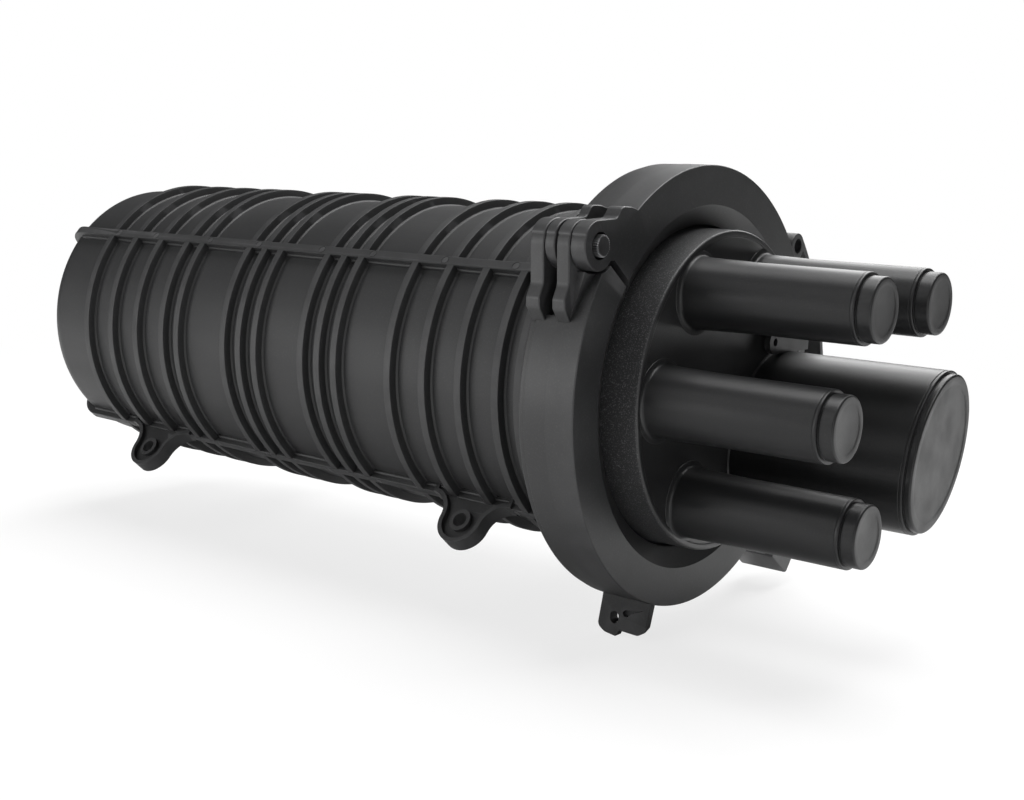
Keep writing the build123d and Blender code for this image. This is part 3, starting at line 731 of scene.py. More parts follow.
def toned(colour: Sequence[float], share: float | Point) -> Colour:
    """Gives a colour with its channels multiplied by a share, or each by its own."""
    shares = (share,) * 3 if isinstance(share, float) else share
    return (*(channel * part for channel, part in zip(colour, shares)), 1.0)


@dataclass(frozen=True)
class MouldedPlastic:
    """Black moulded plastic with a fine grain, flow marks and a painted highlight on its sharp
    edges.
    """

    name: str
    shade: float
    roughness: float
    grain: float = 1700.0
    grain_depth: float = 0.00004
    grain_strength: float = 0.5
    flow: Point = (6.0, 40.0, 40.0)
    gloss: float = 0.45
    speckle: float = 0.35
    # Strength of the painted highlight on sharp edges.
    edge_highlight: float = 0.35
    tint: Point = (1.0, 1.01, 1.04)
    dull_tint: Point = (0.82, 0.83, 0.87)
    pale_tint: Point = (4.2, 4.2, 4.3)
    edge_range: Flat = (0.51, 0.575)

    def build(self) -> bpy.types.Material:
        """Builds the material's nodes.

        Returns:
            The material.
        """
        nodes = Nodes(self.name)
        base = (self.shade,) * 3
        pale = toned(base, self.pale_tint)
        cloud = nodes.ranged(nodes.noise(14.0, 4.0), 0.35, 0.65, 0.0, 1.0)
        speck = nodes.ranged(nodes.noise(self.grain, 2.0), 0.54, 0.7, 0.0, self.speckle)
        # Painted highlight: sharp edges, found from pointiness, are mixed towards the pale colour
        # in noisy patches.
        patches = nodes.ranged(nodes.noise(90.0, 3.0), 0.3, 0.65, 0.35 * self.edge_highlight, self.edge_highlight)
        edges = nodes.product(nodes.sharp_edges(*self.edge_range), patches)
        colour = nodes.mixed(cloud, toned(base, self.dull_tint), toned(base, self.tint))
        for patch in (speck, edges):
            colour = nodes.mixed(patch, colour, pale)
        nodes.link(colour, nodes.shader.inputs["Base Color"])
        flow = nodes.noise(1.0, 3.0, nodes.stretched(self.flow))
        nodes.link(nodes.ranged(flow, 0.3, 0.7, self.roughness - 0.05, self.roughness + 0.06),
                   nodes.shader.inputs["Roughness"])
        coarse = nodes.bump(nodes.noise(160.0, 2.0), 0.00006, 0.25)
        grain = nodes.noise(self.grain, 3.0, roughness=0.65)
        fine = nodes.bump(grain, self.grain_depth, self.grain_strength, coarse)
        nodes.link(fine, nodes.shader.inputs["Normal"])
        nodes.shader.inputs["Specular IOR Level"].default_value = self.gloss
        return nodes.material


@dataclass(frozen=True)
class Metal:
    """Bare metal with fine tool marks along one direction."""

    name: str
    colour: Colour
    roughness: float
    marks: Point
    dark_share: float = 0.6
    bright_share: float = 3.0
    brightest: float = 0.9
    edge_range: Flat = (0.53, 0.62)

    def build(self) -> bpy.types.Material:
        """Builds the material's nodes.

        Returns:
            The material.
        """
        nodes = Nodes(self.name)
        dark = toned(self.colour, self.dark_share)
        pale = toned(self.colour, self.bright_share)
        bright = (*(min(self.brightest, channel) for channel in pale[:3]), 1.0)
        marks = nodes.noise(1.0, 4.0, nodes.stretched(self.marks), 0.7)
        cloud = nodes.ranged(nodes.noise(60.0, 3.0), 0.3, 0.7, 0.0, 1.0)
        colour = nodes.mixed(cloud, dark, self.colour)
        # Sharp edges are mixed towards a lighter colour.
        edge_lightened = nodes.mixed(nodes.sharp_edges(*self.edge_range), colour, bright)
        nodes.link(edge_lightened, nodes.shader.inputs["Base Color"])
        nodes.link(nodes.ranged(marks, 0.3, 0.7, self.roughness - 0.08, self.roughness + 0.12),
                   nodes.shader.inputs["Roughness"])
        nodes.link(nodes.bump(marks, 0.00003, 0.6), nodes.shader.inputs["Normal"])
        nodes.shader.inputs["Metallic"].default_value = 1.0
        return nodes.material


@dataclass(frozen=True)
class PlainMoulding:
    """Coloured plastic or rubber of the inner pieces, with a soft mottle and a fine grain."""

    name: str
    colour: Colour
    roughness: float
    grain: float = 900.0
    dark_share: float = 0.88

    def build(self) -> bpy.types.Material:
        """Builds the material's nodes.

        Returns:
            The material.
        """
        nodes = Nodes(self.name)
        dark = toned(self.colour, self.dark_share)
        cloud = nodes.ranged(nodes.noise(25.0, 4.0), 0.3, 0.7, 0.0, 1.0)
        nodes.link(nodes.mixed(cloud, dark, self.colour), nodes.shader.inputs["Base Color"])
        nodes.link(nodes.ranged(cloud, 0.0, 1.0, self.roughness, self.roughness + 0.08),
                   nodes.shader.inputs["Roughness"])
        grain = nodes.noise(self.grain, 3.0)
        nodes.link(nodes.bump(grain, 0.00003, 0.4), nodes.shader.inputs["Normal"])
        return nodes.material


@dataclass(frozen=True)
class WovenTape:
    """Woven black tape of the strap round the trays."""

    name: str
    threads: float = 900.0
    hollow: Colour = (0.02, 0.02, 0.02, 1.0)
    thread: Colour = (0.06, 0.06, 0.065, 1.0)

    def build(self) -> bpy.types.Material:
        """Builds the material's nodes.

        Returns:
            The material.
        """
        nodes = Nodes(self.name)
        weave = add_node(nodes.tree, "TexWave", Scale=self.threads, Distortion=0.6)
        nodes.link(nodes.coords, weave.inputs["Vector"])
        nodes.link(nodes.mixed(weave.outputs["Fac"], self.hollow, self.thread),
                   nodes.shader.inputs["Base Color"])
        nodes.link(nodes.bump(weave.outputs["Fac"], 0.0001, 0.6), nodes.shader.inputs["Normal"])
        nodes.shader.inputs["Roughness"].default_value = 0.85
        return nodes.material


class Finishes:
    """All finishes of the closure, each built once."""

    def __init__(self) -> None:
        """Builds every material."""
        # In each plastic below, the last value sets the strength of its painted highlight on sharp
        # edges.
        self.dome = MouldedPlastic("dome plastic", 0.016, 0.50, speckle=0.2, edge_highlight=0.8).build()
        self.clamp = MouldedPlastic("clamp plastic", 0.018, 0.42, grain=1400.0,
                                    flow=(60.0, 14.0, 14.0), speckle=0.2, edge_highlight=0.9).build()
        self.base = MouldedPlastic("base plastic", 0.014, 0.36, grain=2200.0, grain_strength=0.35,
                                   edge_highlight=0.9).build()
        self.wall = MouldedPlastic("eroded plastic", 0.024, 0.48, grain=1800.0, grain_depth=0.00012,
                                   grain_strength=1.0, speckle=1.0, edge_highlight=0.1).build()
        self.port = MouldedPlastic("port plastic", 0.013, 0.37, grain=2400.0, grain_strength=0.3,
                                   flow=(9.0, 90.0, 90.0), gloss=0.3, speckle=0.15,
                                   edge_highlight=0.5).build()
        self.steel = Metal("pin steel", (0.62, 0.62, 0.64, 1.0), 0.34,
                           (2200.0, 500.0, 500.0)).build()
        self.dull = Metal("dulled pin steel", (0.17, 0.17, 0.175, 1.0), 0.42,
                          (2200.0, 700.0, 700.0)).build()
        self.sheet = Metal("carrier sheet", (0.74, 0.75, 0.76, 1.0), 0.4,
                           (60.0, 1400.0, 1400.0)).build()
        self.brass = Metal("turned brass", (0.78, 0.6, 0.28, 1.0), 0.32,
                           (500.0, 500.0, 2400.0)).build()
        self.rubber = PlainMoulding("seal rubber", (0.03, 0.03, 0.03, 1.0), 0.6).build()
        self.tray = PlainMoulding("tray plastic", (0.72, 0.73, 0.74, 1.0), 0.45).build()
        self.holder = PlainMoulding("holder plastic", (0.1, 0.1, 0.11, 1.0), 0.5).build()
        self.tape = WovenTape("strap tape").build()

    def dress_frame(self, nodes: dict[str, bpy.types.Object], record: dict) -> None:
        """Gives every CAD node the finish of its slot.

        Args:
            nodes: CAD nodes by name.
            record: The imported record, whose subparts name each node's slot.
        """
        table = {
            Slot.DOME: self.dome, Slot.BASE: self.base, Slot.CLAMP: self.clamp,
            Slot.STEEL: self.steel, Slot.RUBBER: self.rubber, Slot.METAL: self.sheet,
            Slot.TRAY: self.tray, Slot.HOLDER: self.holder, Slot.BRASS: self.brass,
            Slot.TAPE: self.tape,
        }
        for part in record["subparts"]:
            finish = table[Slot(part["material_slot"])]
            for place in nodes[part["node"]].material_slots:
                place.material = finish
            LOG.info("%s wears %s", part["node"], finish.name)


@dataclass
class RibbedDome:
    """Closed dome: tapered shell with hoop ribs, long ribs and four ears."""

    radius: float = 76.2
    end_radius: float = 74.0
    wall: float = 3.2
    mouth_x: float = -15.2
    end_x: float = -398.2
    end_round: float = 13.0
    end_step: float = 0.35
    end_boss: float = 9.0
    end_rim: float = 4.0
    flange_radius: float = 91.5
    flange_back: float = -20.6
    rib_height: float = 4.3
    rib_top: float = 4.0
    rib_root: float = 5.2
    rib_fillet: Flat = (0.8, 0.7)
    hoops: tuple[float, ...] = (44.0, 56.5, 78.0, 99.5, 121.0, 156.5, 168.0, 179.5, 213.5, 225.5,
                                237.5, 275.0, 287.5, 310.0, 332.0, 354.0)
    long_rib_width: float = 4.8
    long_rib_foot: Flat = (0.9, 1.5)
    long_rib_nose: int = 78
    long_rib_end: float = 174.0
    long_rib_angles: tuple[float, ...] = (49.2, 139.2, 229.2, 319.2)
    long_rib_start: float = -29.2
    ear_places: tuple[float, ...] = (88.0, 319.0)
    ear_angles: tuple[float, ...] = (229.2, 319.2)
    ear_reach: float = 91.5
    ear_radius: float = 11.9
    ear_thick: float = 8.0
    ear_web: float = 3.5
    ear_rim: float = 2.2
    ear_boss: float = 5.5
    ear_hole: float = 3.5
    pin_marks: tuple[float, ...] = (62.5, 104.0, 150.0, 185.0, 231.5, 270.0, 316.0, 349.0)
    mark_ring: Flat = (1.9, 0.22)

    def wall_at(self, x: float) -> float:
        """Gives the shell's outer radius at a place along the axis."""
        share = (self.mouth_x - x) / (self.mouth_x - self.end_x)
        return self.radius + (self.end_radius - self.radius) * share

    def profile(self) -> list[Flat]:
        """Draws the closed wall section, from the end's middle round to its inner side.

        Returns:
            The profile as (x, radius) points.
        """
        crown = self.end_x + self.end_round
        crown_r = self.wall_at(crown)
        flat_r = crown_r - self.end_round
        sunk_x = self.end_x - self.end_step
        inner = self.wall
        corners: list[Point] = [
            (self.end_x, 0.0, 0.0), (self.end_x, self.end_boss, 0.0),
            (sunk_x, self.end_boss + 0.4, 0.0), (sunk_x, flat_r - self.end_rim, 0.0),
            (self.end_x, flat_r - self.end_rim + 0.4, 0.0),
        ]
        corners += [(x, r, 0.0) for x, r in arc((crown, flat_r), self.end_round, 180.0, 90.0, 12)]
        top, root = self.rib_top / 2.0, self.rib_root / 2.0
        run, rise = self.rib_fillet
        for hoop in reversed(self.hoops):
            r = self.wall_at(-hoop)
            crest = r + self.rib_height
            corners += [(-hoop - root - run, r, 0.5), (-hoop - root, r + rise, 0.5),
                        (-hoop - top, crest, 0.45), (-hoop + top, crest, 0.45),
                        (-hoop + root, r + rise, 0.5), (-hoop + root + run, r, 0.5)]
        corners += [
            (self.flange_back, self.radius, 1.2),
            (self.flange_back + 0.8, self.flange_radius, 0.6),
            (self.mouth_x, self.flange_radius, 0.5),
            (self.mouth_x, self.radius - inner, 0.0),
            (crown, crown_r - inner, 5.0),
            (self.end_x + inner, flat_r, 5.0),
            (self.end_x + inner, 0.0, 0.0),
        ]
        return rounded(corners, steps=2)

    def long_rib(self) -> bpy.types.Object:
        """Models one long rib with its rounded nose over the dome's end.

        Returns:
            The rib, which stands along +Y.
        """
        crown = self.end_x + self.end_round
        crown_r = self.wall_at(crown)
        hub = (crown, crown_r - self.end_round)
        sunk = self.radius - 1.2
        reach = self.end_round + self.rib_height
        nose = [along(hub, 90.0 + turn, reach - 2.0 * turn / self.long_rib_nose)
                for turn in range(0, self.long_rib_nose + 1, 6)]
        tip = [along(hub, self.long_rib_end, self.end_round + 1.2)]
        under = arc(hub, self.end_round - self.wall / 2.0, self.long_rib_end, 90.0, 6)
        side = [(self.long_rib_start, sunk), (self.long_rib_start, self.radius + self.rib_height)]
        half = self.long_rib_width / 2.0
        rib = Bench.upright("long_rib", side + nose + tip + under, half)
        Bench.ease(rib, 0.5)
        wider, height = self.long_rib_foot
        wedge = [(self.long_rib_start, sunk), (self.long_rib_start, self.radius + height),
                 (crown, crown_r + height), (crown, crown_r - 1.2)]
        foot = Bench.upright("rib_foot", wedge, half + wider)
        Bench.ease(foot, 0.85, 3)
        return Bench.unite(rib, foot)

    def ear_outline(self, wall: float, inset: float) -> list[Flat]:
        """Draws the ear's outline: a round head between two hollows that run out along the rib.

        Args:
            wall: Radius of the shell where the ear stands.
            inset: How far inside the ear's edge the outline runs.

        Returns:
            Points as (distance along the axis, radius).
        """
        hollow = self.ear_reach - wall - self.rib_height
        foot = self.ear_radius + hollow
        bend = hollow + inset
        lowest = wall - 1.4 if inset == 0.0 else wall + 0.3
        flank = [(foot - inset, lowest)]
        lean = math.degrees(math.asin(inset / bend))
        flank += arc((foot, self.ear_reach), bend, 270.0 - lean, 180.0, 12)
        crest = arc((0.0, self.ear_reach), self.ear_radius - inset, 0.0, 180.0, 30)
        return flank + crest[1:-1] + [(-x, r) for x, r in reversed(flank)]

    def ear(self, place: float) -> bpy.types.Object:
        """Models one ear: rim, dished web on both sides, boss and hole.

        Args:
            place: Distance of its hole behind the clamp's front face.

        Returns:
            The ear, which stands along +Y.
        """
        wall = self.wall_at(-place)
        half = self.ear_thick / 2.0
        body = Bench.upright("ear", [(x - place, r) for x, r in self.ear_outline(wall, 0.0)], half)
        dish = self.ear_outline(wall, self.ear_rim)
        depth = (self.ear_thick - self.ear_web) / 2.0
        for side in (1.0, -1.0):
            start = side * (half - depth)
            cutter = Bench.plate("dish", [(x - place, r, start) for x, r in dish],
                                 (0.0, 0.0, side * (depth + 2.0)))
            Bench.cut(body, cutter)
        for radius, height, combine in ((self.ear_boss, self.ear_thick, Bench.unite),
                                        (self.ear_hole, self.ear_thick + 4.0, Bench.cut)):
            Bench.clear()
            bpy.ops.mesh.primitive_cylinder_add(vertices=48, radius=radius, depth=height,
                                                location=(-place, self.ear_reach, 0.0))
            combine(body, bpy.context.object)
        return Bench.ease(body, 0.4, 2, 40.0)

    def sink_marks(self, dome: bpy.types.Object) -> None:
        """Sinks the fine rings of the mould's ejector pins into the tops of the long ribs.

        Args:
            dome: The dome with its ribs.
        """
        Bench.clear()
        major, minor = self.mark_ring
        bpy.ops.mesh.primitive_torus_add(major_radius=major, minor_radius=minor, major_segments=28,
                                         minor_segments=6, location=ORIGIN,
                                         rotation=(math.pi / 2.0, 0.0, 0.0))
        ring = Bench.fresh("mark_ring", 0.0)
        for angle in self.long_rib_angles:
            for mark in self.pin_marks:
                top = self.wall_at(-mark) + self.rib_height
                cutter = Bench.move(Bench.copy(ring, "mark"), x=-mark, y=top)
                Bench.cut(dome, Bench.move(cutter, swing=angle))
        bpy.data.objects.remove(ring)

    def build(self, datum: Datum, finishes: Finishes) -> None:
        """Builds the dome and seats it in place of its CAD node.

        Args:
            datum: Place of the closure in the row frame.
            finishes: Materials of the closure.
        """
        dome = Bench.turned("dome_shell", self.profile(), 176)
        rib = self.long_rib()
        for angle in self.long_rib_angles:
            Bench.unite(dome, Bench.move(Bench.copy(rib, "rib"), swing=angle))
        bpy.data.objects.remove(rib)
        for place in self.ear_places:
            ear = self.ear(place)
            for angle in self.ear_angles:
                Bench.unite(dome, Bench.move(Bench.copy(ear, "ear"), swing=angle))
            bpy.data.objects.remove(ear)
        self.sink_marks(dome)
        Bench.coat(dome, finishes.dome)
        datum.seat(dome, Body.ROOT, "dome")


@dataclass
class PortBase:
    """Base moulding: flange and body, four round ports, an oval port and a drilled lug."""

    radius: float = 72.0
    front_x: float = 12.1
    wall: float = 4.0
    flange_front: float = -9.4
    flange_radius: float = 91.5
    joint_x: float = -15.2
    skirt_radius: float = 72.2
    skirt_end: float = -31.2
    port_circle: float = 53.4
    port_angles: tuple[float, ...] = (58.0, 122.0, 179.0, 240.0)
    port_length: float = 84.0
    port_radius: float = 14.8
    port_root: float = 15.6
    port_step: float = 1.4
    plug_length: float = 6.5
    port_wall: float = 2.8
    oval_centre: Flat = (38.5, -20.0)
    oval_turn: float = 53.4
    oval_radii: Flat = (38.8, 27.2)
    oval_length: float = 85.98
    oval_step: float = 1.0
    oval_plug: float = 3.3
    oval_wall: float = 3.0
    lug_hole: Flat = (34.0, 20.5)
    lug_hole_radius: float = 1.9
    lug_rim: float = 67.5
    lug_root: float = 9.5
    lug_half: float = 5.5
    lug_lift: float = 2.6
    lug_thick: float = 2.6

    def body_profile(self) -> list[Flat]:
        """Draws the closed section of the flange, the body and the skirt.

        Returns:
            The profile as (x, radius) points.
        """
        inner = self.radius - self.wall - 1.5
        return rounded([
            (self.front_x - 0.5, 0.0, 0.0), (self.front_x - 0.5, self.radius - 3.4, 0.0),
            (self.front_x, self.radius - 2.6, 0.5), (self.front_x, self.radius, 1.5),
            (self.flange_front, self.radius, 2.0),
            (self.flange_front - 0.8, self.flange_radius, 0.5),
            (self.joint_x, self.flange_radius, 0.5), (self.joint_x, self.skirt_radius, 0.0),
            (self.skirt_end, self.skirt_radius, 0.8), (self.skirt_end, inner, 0.5),
            (self.front_x - self.wall, inner, 2.0), (self.front_x - self.wall, 0.0, 0.0),
        ], steps=4)

    def port_profile(self, root: float, radius: float, length: float, plug: float, step: float,
                     fillet: float) -> list[Flat]:
        """Draws a port from the base's face to its closed tip.

        Args:
            root: Radius just above the fillet.
            radius: Radius at the shoulder.
            length: Length from the base's face to the tip.
            plug: Length of the stepped plug at the tip.
            step: Drop from the port to the plug.
            fillet: Radius of the hollow at the root.

        Returns:
            The profile, which starts and ends on the port's own axis.
        """
        face = self.front_x
        tip = face + length
        shoulder = tip - plug
        inner = radius - step
        return rounded([
            (face - 1.5, 0.0, 0.0), (face - 1.5, root + fillet, 0.0),
            (face - 0.3, root + fillet, 0.2), (face + 0.25, root, 0.9 * fillet),
            (face + 26.0, radius + 0.1, 20.0),
            (shoulder - 1.9, radius, 0.0), (shoulder - 1.6, radius - 0.22, 0.0),
            (shoulder - 1.3, radius, 0.0), (shoulder, radius, 0.5),
            (shoulder, inner - 0.3, 0.15), (shoulder + 0.7, inner - 0.3, 0.15),
            (shoulder + 0.7, inner, 0.15), (tip, inner, 0.9), (tip, inner - 3.2, 0.0),
            (tip - 0.3, inner - 3.7, 0.0), (tip - 0.3, 0.0, 0.0),
        ], steps=4)

    def round_port(self, angle: float) -> bpy.types.Object:
        """Models one round port at its place on the circle.

        Args:
            angle: Direction of the port from the axis.

        Returns:
            The port.
        """
        profile = self.port_profile(self.port_root, self.port_radius, self.port_length,
                                    self.plug_length, self.port_step, 2.6)
        y, z = at(self.port_circle, angle)
        return Bench.move(Bench.turned("round_port", profile, 72), y=y, z=z)

    def set_oval(self, piece: bpy.types.Object, ratio: float) -> bpy.types.Object:
        """Stretches a turned piece to an oval one and puts it in the oval port's place.

        Args:
            piece: Solid turned about the closure's axis.
            ratio: Long radius over short radius.

        Returns:
            The same object.
        """
        Bench.take(piece)
        piece.scale = (1.0, ratio, 1.0)
        bpy.ops.object.transform_apply(location=False, rotation=False, scale=True)
        Bench.move(piece, swing=self.oval_turn)
        return Bench.move(piece, y=self.oval_centre[0], z=self.oval_centre[1])

    def lug(self) -> bpy.types.Object:
        """Models the drilled lug that stands off the base's face.

        Returns:
            The lug with its root.
        """
        y0, z0 = self.lug_hole
        y1, half = self.lug_rim, self.lug_half
        outline = arc((y0, z0), half, 90.0, 270.0, 14) + [(y1, z0 - half), (y1, z0 + half)]
        x0 = self.front_x + self.lug_lift
        plate = Bench.slab("base_lug", outline, x0, x0 + self.lug_thick)
        hole = Bench.rod("lug_hole", self.lug_hole, self.lug_hole_radius, x0 - 1.0, x0 + 4.0, 32)
        Bench.cut(plate, hole)
        Bench.ease(plate, 0.5)
        root = Bench.block("lug_root", (self.front_x - 1.0, y1 - self.lug_root, z0 - half),
                           (x0 + 0.4, y1, z0 + half), 0.4)
        return Bench.unite(plate, root)

    def paint(self, base: bpy.types.Object, finishes: Finishes) -> None:
        """Gives the side wall, the ports and the rest their own finishes.

        Args:
            base: The finished base.
            finishes: Materials of the closure.
        """
        Bench.coat(base, finishes.base, finishes.wall, finishes.port)
        for face in base.data.polygons:
            x, y, z = face.center
            distance = math.hypot(y, z)
            outward = (face.normal.y * y + face.normal.z * z) / max(distance, 0.001)
            if x > self.front_x + 0.6:
                face.material_index = 2
            elif outward > 0.7 and distance > self.radius - 1.0 and x > self.flange_front:
                face.material_index = 1
            else:
                face.material_index = 0

    def build(self, datum: Datum, finishes: Finishes) -> None:
        """Builds the base and seats it in place of its CAD node.

        Args:
            datum: Place of the closure in the row frame.
            finishes: Materials of the closure.
        """
        base = Bench.turned("port_base", self.body_profile(), 160)
        for angle in self.port_angles:
            Bench.unite(base, self.round_port(angle))
        long, short = self.oval_radii
        profile = self.port_profile(short + 0.1, short, self.oval_length, self.oval_plug,
                                    self.oval_step, 0.5)
        oval = Bench.turned("oval_port", profile, 112)
        Bench.unite(base, self.set_oval(oval, long / short))
        back = self.front_x - 6.0
        end = self.front_x + self.port_length - self.port_wall
        for angle in self.port_angles:
            Bench.cut(base, Bench.rod("port_bore", at(self.port_circle, angle),
                                      self.port_radius - self.port_wall, back, end, 48))
        inner = short - self.oval_wall
        end = self.front_x + self.oval_length - self.oval_wall
        bore = Bench.turned("oval_bore", [(back, 0.0), (back, inner), (end, inner), (end, 0.0)], 64)
        Bench.cut(base, self.set_oval(bore, (long - self.oval_wall) / inner))
        Bench.unite(base, self.lug())
        self.paint(base, finishes)
        datum.seat(base, Body.ROOT, "base")


@dataclass(frozen=True)
class LatchFit:
    """Sizes that the clamp's halves share with the latch lever."""

    radius: float = 107.0
    angle: float = 36.0
    knuckle: float = 6.5
    bore: float = 2.65
    lug_width: float = 9.6
    middle: float = -14.2
    inner_toe: Flat = (82.0, -94.2)
    slope: float = 40.0

    def pivot(self) -> Flat:
        """Gives the place of the lever's pin."""
        return at(self.radius, self.angle)


@dataclass
class RingClamp:
    """Two-part ring clamp with its hinge, foot, latch catch and latch lug.

    Corners are given as (radius, turn) or (radius, turn, rounding). The turn is counted from
    the split for the arms, straps and web, from the latch's angle for the ramp and the lug,
    and from +Y for the catch. The foot's corners are (x, z, rounding).
    """

    radius: float = 100.0
    width: float = 28.4
    mouth: float = 82.5
    lip: float = 73.4
    back_lip: float = 78.6
    groove: float = 93.0
    split: float = 143.0
    split_turn: float = 1.0
    hinge_radius: float = 108.5
    knuckle: float = 10.3
    knuckle_cap: float = 0.6
    cap_angles: Flat = (96.0, 157.0)
    arm_edge: tuple[Point, ...] = ((107.1, 8.4, 3.4), (108.4, 11.4, 3.4), (103.9, 14.2, 3.0),
                                   (99.2, 16.4, 0.0))
    strap_edge: tuple[Point, ...] = ((107.6, 9.9, 6.0), (107.6, 13.2, 3.0), (105.7, 15.1, 3.0),
                                     (98.6, 17.6, 0.0))
    arm_root: Flat = (95.5, 1.2)
    arms: tuple[Flat, ...] = ((-7.4, 0.0), (-20.1, -15.1))
    straps: tuple[Flat, ...] = ((-14.15, -7.75), (-27.45, -20.45))
    relief: float = 11.4
    play: float = 0.35
    pocket: Flat = (96.0, 104.0)
    pocket_turns: Flat = (-1.0, 15.6)
    gusset_corners: tuple[Flat, ...] = ((95.5, 2.0), (109.5, 2.0), (99.6, 17.4))
    gusset_depth: float = 5.4
    pin: float = 4.0
    pin_bore: float = 4.05
    pin_teeth: int = 30
    pin_tooth: Flat = (4.25, 4.65)
    pin_head: Flat = (-4.2, 1.5)
    pin_seat: float = 5.7
    latch: LatchFit = LatchFit()
    ramp: tuple[Flat, ...] = ((95.0, 0.0), (107.0, 1.2), (103.2, 4.4), (102.6, 9.0), (99.5, 13.0),
                              (95.0, 13.0))
    ramp_half: float = 9.5
    lug_corners: tuple[Flat, ...] = ((95.0, -5.0), (102.4, 6.0), (95.0, 6.0))
    catch_length: float = 30.0
    catch_nose: float = 5.0
    catch_play: float = 0.4
    catch_root: tuple[Flat, ...] = ((96.0, -39.0), (96.0, -56.0))
    foot_y: float = -31.0
    foot_thick: float = 4.0
    foot_edge: tuple[Point, ...] = (
        (-25.6, -90.5, 0.0), (-26.4, -97.0, 3.0), (-28.3, -110.0, 3.4), (-24.4, -112.5, 3.0),
        (-18.0, -113.4, 1.0), (-16.6, -110.2, 0.6), (-5.6, -110.6, 3.5), (-2.4, -106.5, 3.0),
        (-0.3, -94.0, 0.0), (-0.3, -90.5, 0.0),
    )
    foot_slit: tuple[Point, ...] = (
        (-14.4, -103.0, 0.0), (-15.0, -101.4, 0.8), (-13.8, -100.2, 0.8), (-4.4, -98.3, 0.2),
        (-4.4, -98.7, 0.2), (-10.2, -101.0, 1.0), (-12.4, -103.2, 0.8),
    )
    slot_x: float = -19.3
    slot_ends: Flat = (-103.8, -105.4)
    slot_radius: float = 2.2
    collar_radius: float = 4.0
    collar_depth: float = 2.0

    def hinge(self) -> Flat:
        """Gives the hinge pin's place."""
        return at(self.hinge_radius, self.split)

    def section(self) -> list[Flat]:
        """Draws the ring's channel section.

        Returns:
            The closed section as (x, radius) points.
        """
        back = -self.width
        return rounded([
            (0.0, self.mouth, 0.3), (0.0, self.radius, 0.6), (-13.9, self.radius, 0.0),
            (-14.1, self.radius - 0.07, 0.0), (back + 3.4, self.radius - 0.25, 0.2),
            (back + 3.1, self.radius - 1.0, 0.2), (back, self.radius - 1.0, 0.8),
            (back, self.back_lip + 3.0, 0.5), (back + 3.0, self.back_lip, 0.5),
            (-21.0, self.back_lip, 0.5), (-20.2, self.groove, 0.8), (-9.8, self.groove, 0.8),
            (-9.0, self.lip, 0.6), (-5.4, self.lip, 0.8), (-3.0, self.lip + 4.0, 4.0),
        ], closed=True, steps=3)

    def knuckle_round(self, pin: Flat, start: float, stop: float) -> list[Flat]:
        """Lists points round a knuckle, with the slightly raised cap on its upper side.

        Args:
            pin: Place of the hinge pin.
            start: First direction in degrees.
            stop: Last direction in degrees.

        Returns:
            The points, as (y, z).
        """
        low, high = self.cap_angles
        points = []
        for k in range(61):
            angle = start + (stop - start) * k / 60
            turn = angle % 360.0
            raised = self.knuckle_cap * (turn - low) / (high - low) if low < turn < high else 0.0
            points.append(along(pin, angle, self.knuckle + raised))
        return points

    def hook(self, sense: Sense) -> list[Flat]:
        """Draws a knuckle arm: round knuckle, straight top and the lobe on the ring.

        Args:
            sense: UP runs from the pin towards larger angles, as the straps do, DOWN the other way.

        Returns:
            The closed outline as (y, z) points.
        """
        sign = float(sense.value)
        edge = self.strap_edge if sense is Sense.UP else self.arm_edge
        corners = [(*at(radius, self.split + sign * turn), ease) for radius, turn, ease in edge]
        pin = self.hinge()
        waist = corners[0][:2]
        lean = math.degrees(math.acos(self.knuckle / math.dist(pin, waist)))
        start = self.split - 180.0
        stop = heading(pin, waist) - sign * lean
        while sign * (stop - start) < 0.0:
            stop += sign * 360.0
        points = self.knuckle_round(pin, start, stop)
        points += rounded([(*points[-1], 0.0), *corners], steps=5)[1:]
        depth, turn = self.arm_root
        points += [at(depth, self.split + sign * edge[-1][1]), at(depth, self.split + sign * turn)]
        return points

    def knuckles(self, half: bpy.types.Object, own: tuple[Flat, ...], others: tuple[Flat, ...],
                 sense: Sense) -> None:
        """Cuts room for the other half's knuckles and adds this half's.

        Args:
            half: Half of the ring.
            own: Spans of its own knuckles.
            others: Spans of the other half's knuckles.
            sense: Which way its hooks run from the pin.
        """
        pin = self.hinge()
        for x0, x1 in others:
            room = Bench.rod("relief", pin, self.relief, x0 - self.play, x1 + self.play, 72)
            Bench.cut(half, room)
        for x0, x1 in own:
            arm = Bench.slab("knuckle_arm", self.hook(sense), x0, x1)
            Bench.unite(half, Bench.ease(arm, 0.65, 3, 40.0))
        Bench.cut(half, Bench.rod("pin_bore", pin, self.pin_bore, -self.width - 2.0, 2.0, 48))

    def standing(self, name: str, outline: Iterable[Flat], behind: float,
                 depth: float) -> bpy.types.Object:
        """Extrudes an (x, z) outline along Y, from a distance behind the foot's middle plane."""
        y = self.foot_y + behind
        return Bench.plate(name, [(x, y, z) for x, z in outline], (0.0, depth, 0.0))

    def foot(self) -> bpy.types.Object:
        """Models the foot plate: notched edge, slot with a collar behind it, and a narrow slit.

        Returns:
            The foot.
        """
        half = self.foot_thick / 2.0
        edge = rounded(self.foot_edge, closed=True, steps=5)
        plate = self.standing("foot_plate", edge, -half, self.foot_thick)
        collar = self.foot_slot(self.collar_radius)
        Bench.unite(plate, self.standing("foot_collar", collar, 0.0, half + self.collar_depth))
        Bench.cut(plate, self.standing("foot_slot", self.foot_slot(self.slot_radius), -5.0, 12.0))
        slit = rounded(self.foot_slit, closed=True)
        Bench.cut(plate, self.standing("foot_slit", slit, -half - 0.5, 2.3))
        return Bench.ease(plate, 0.35)

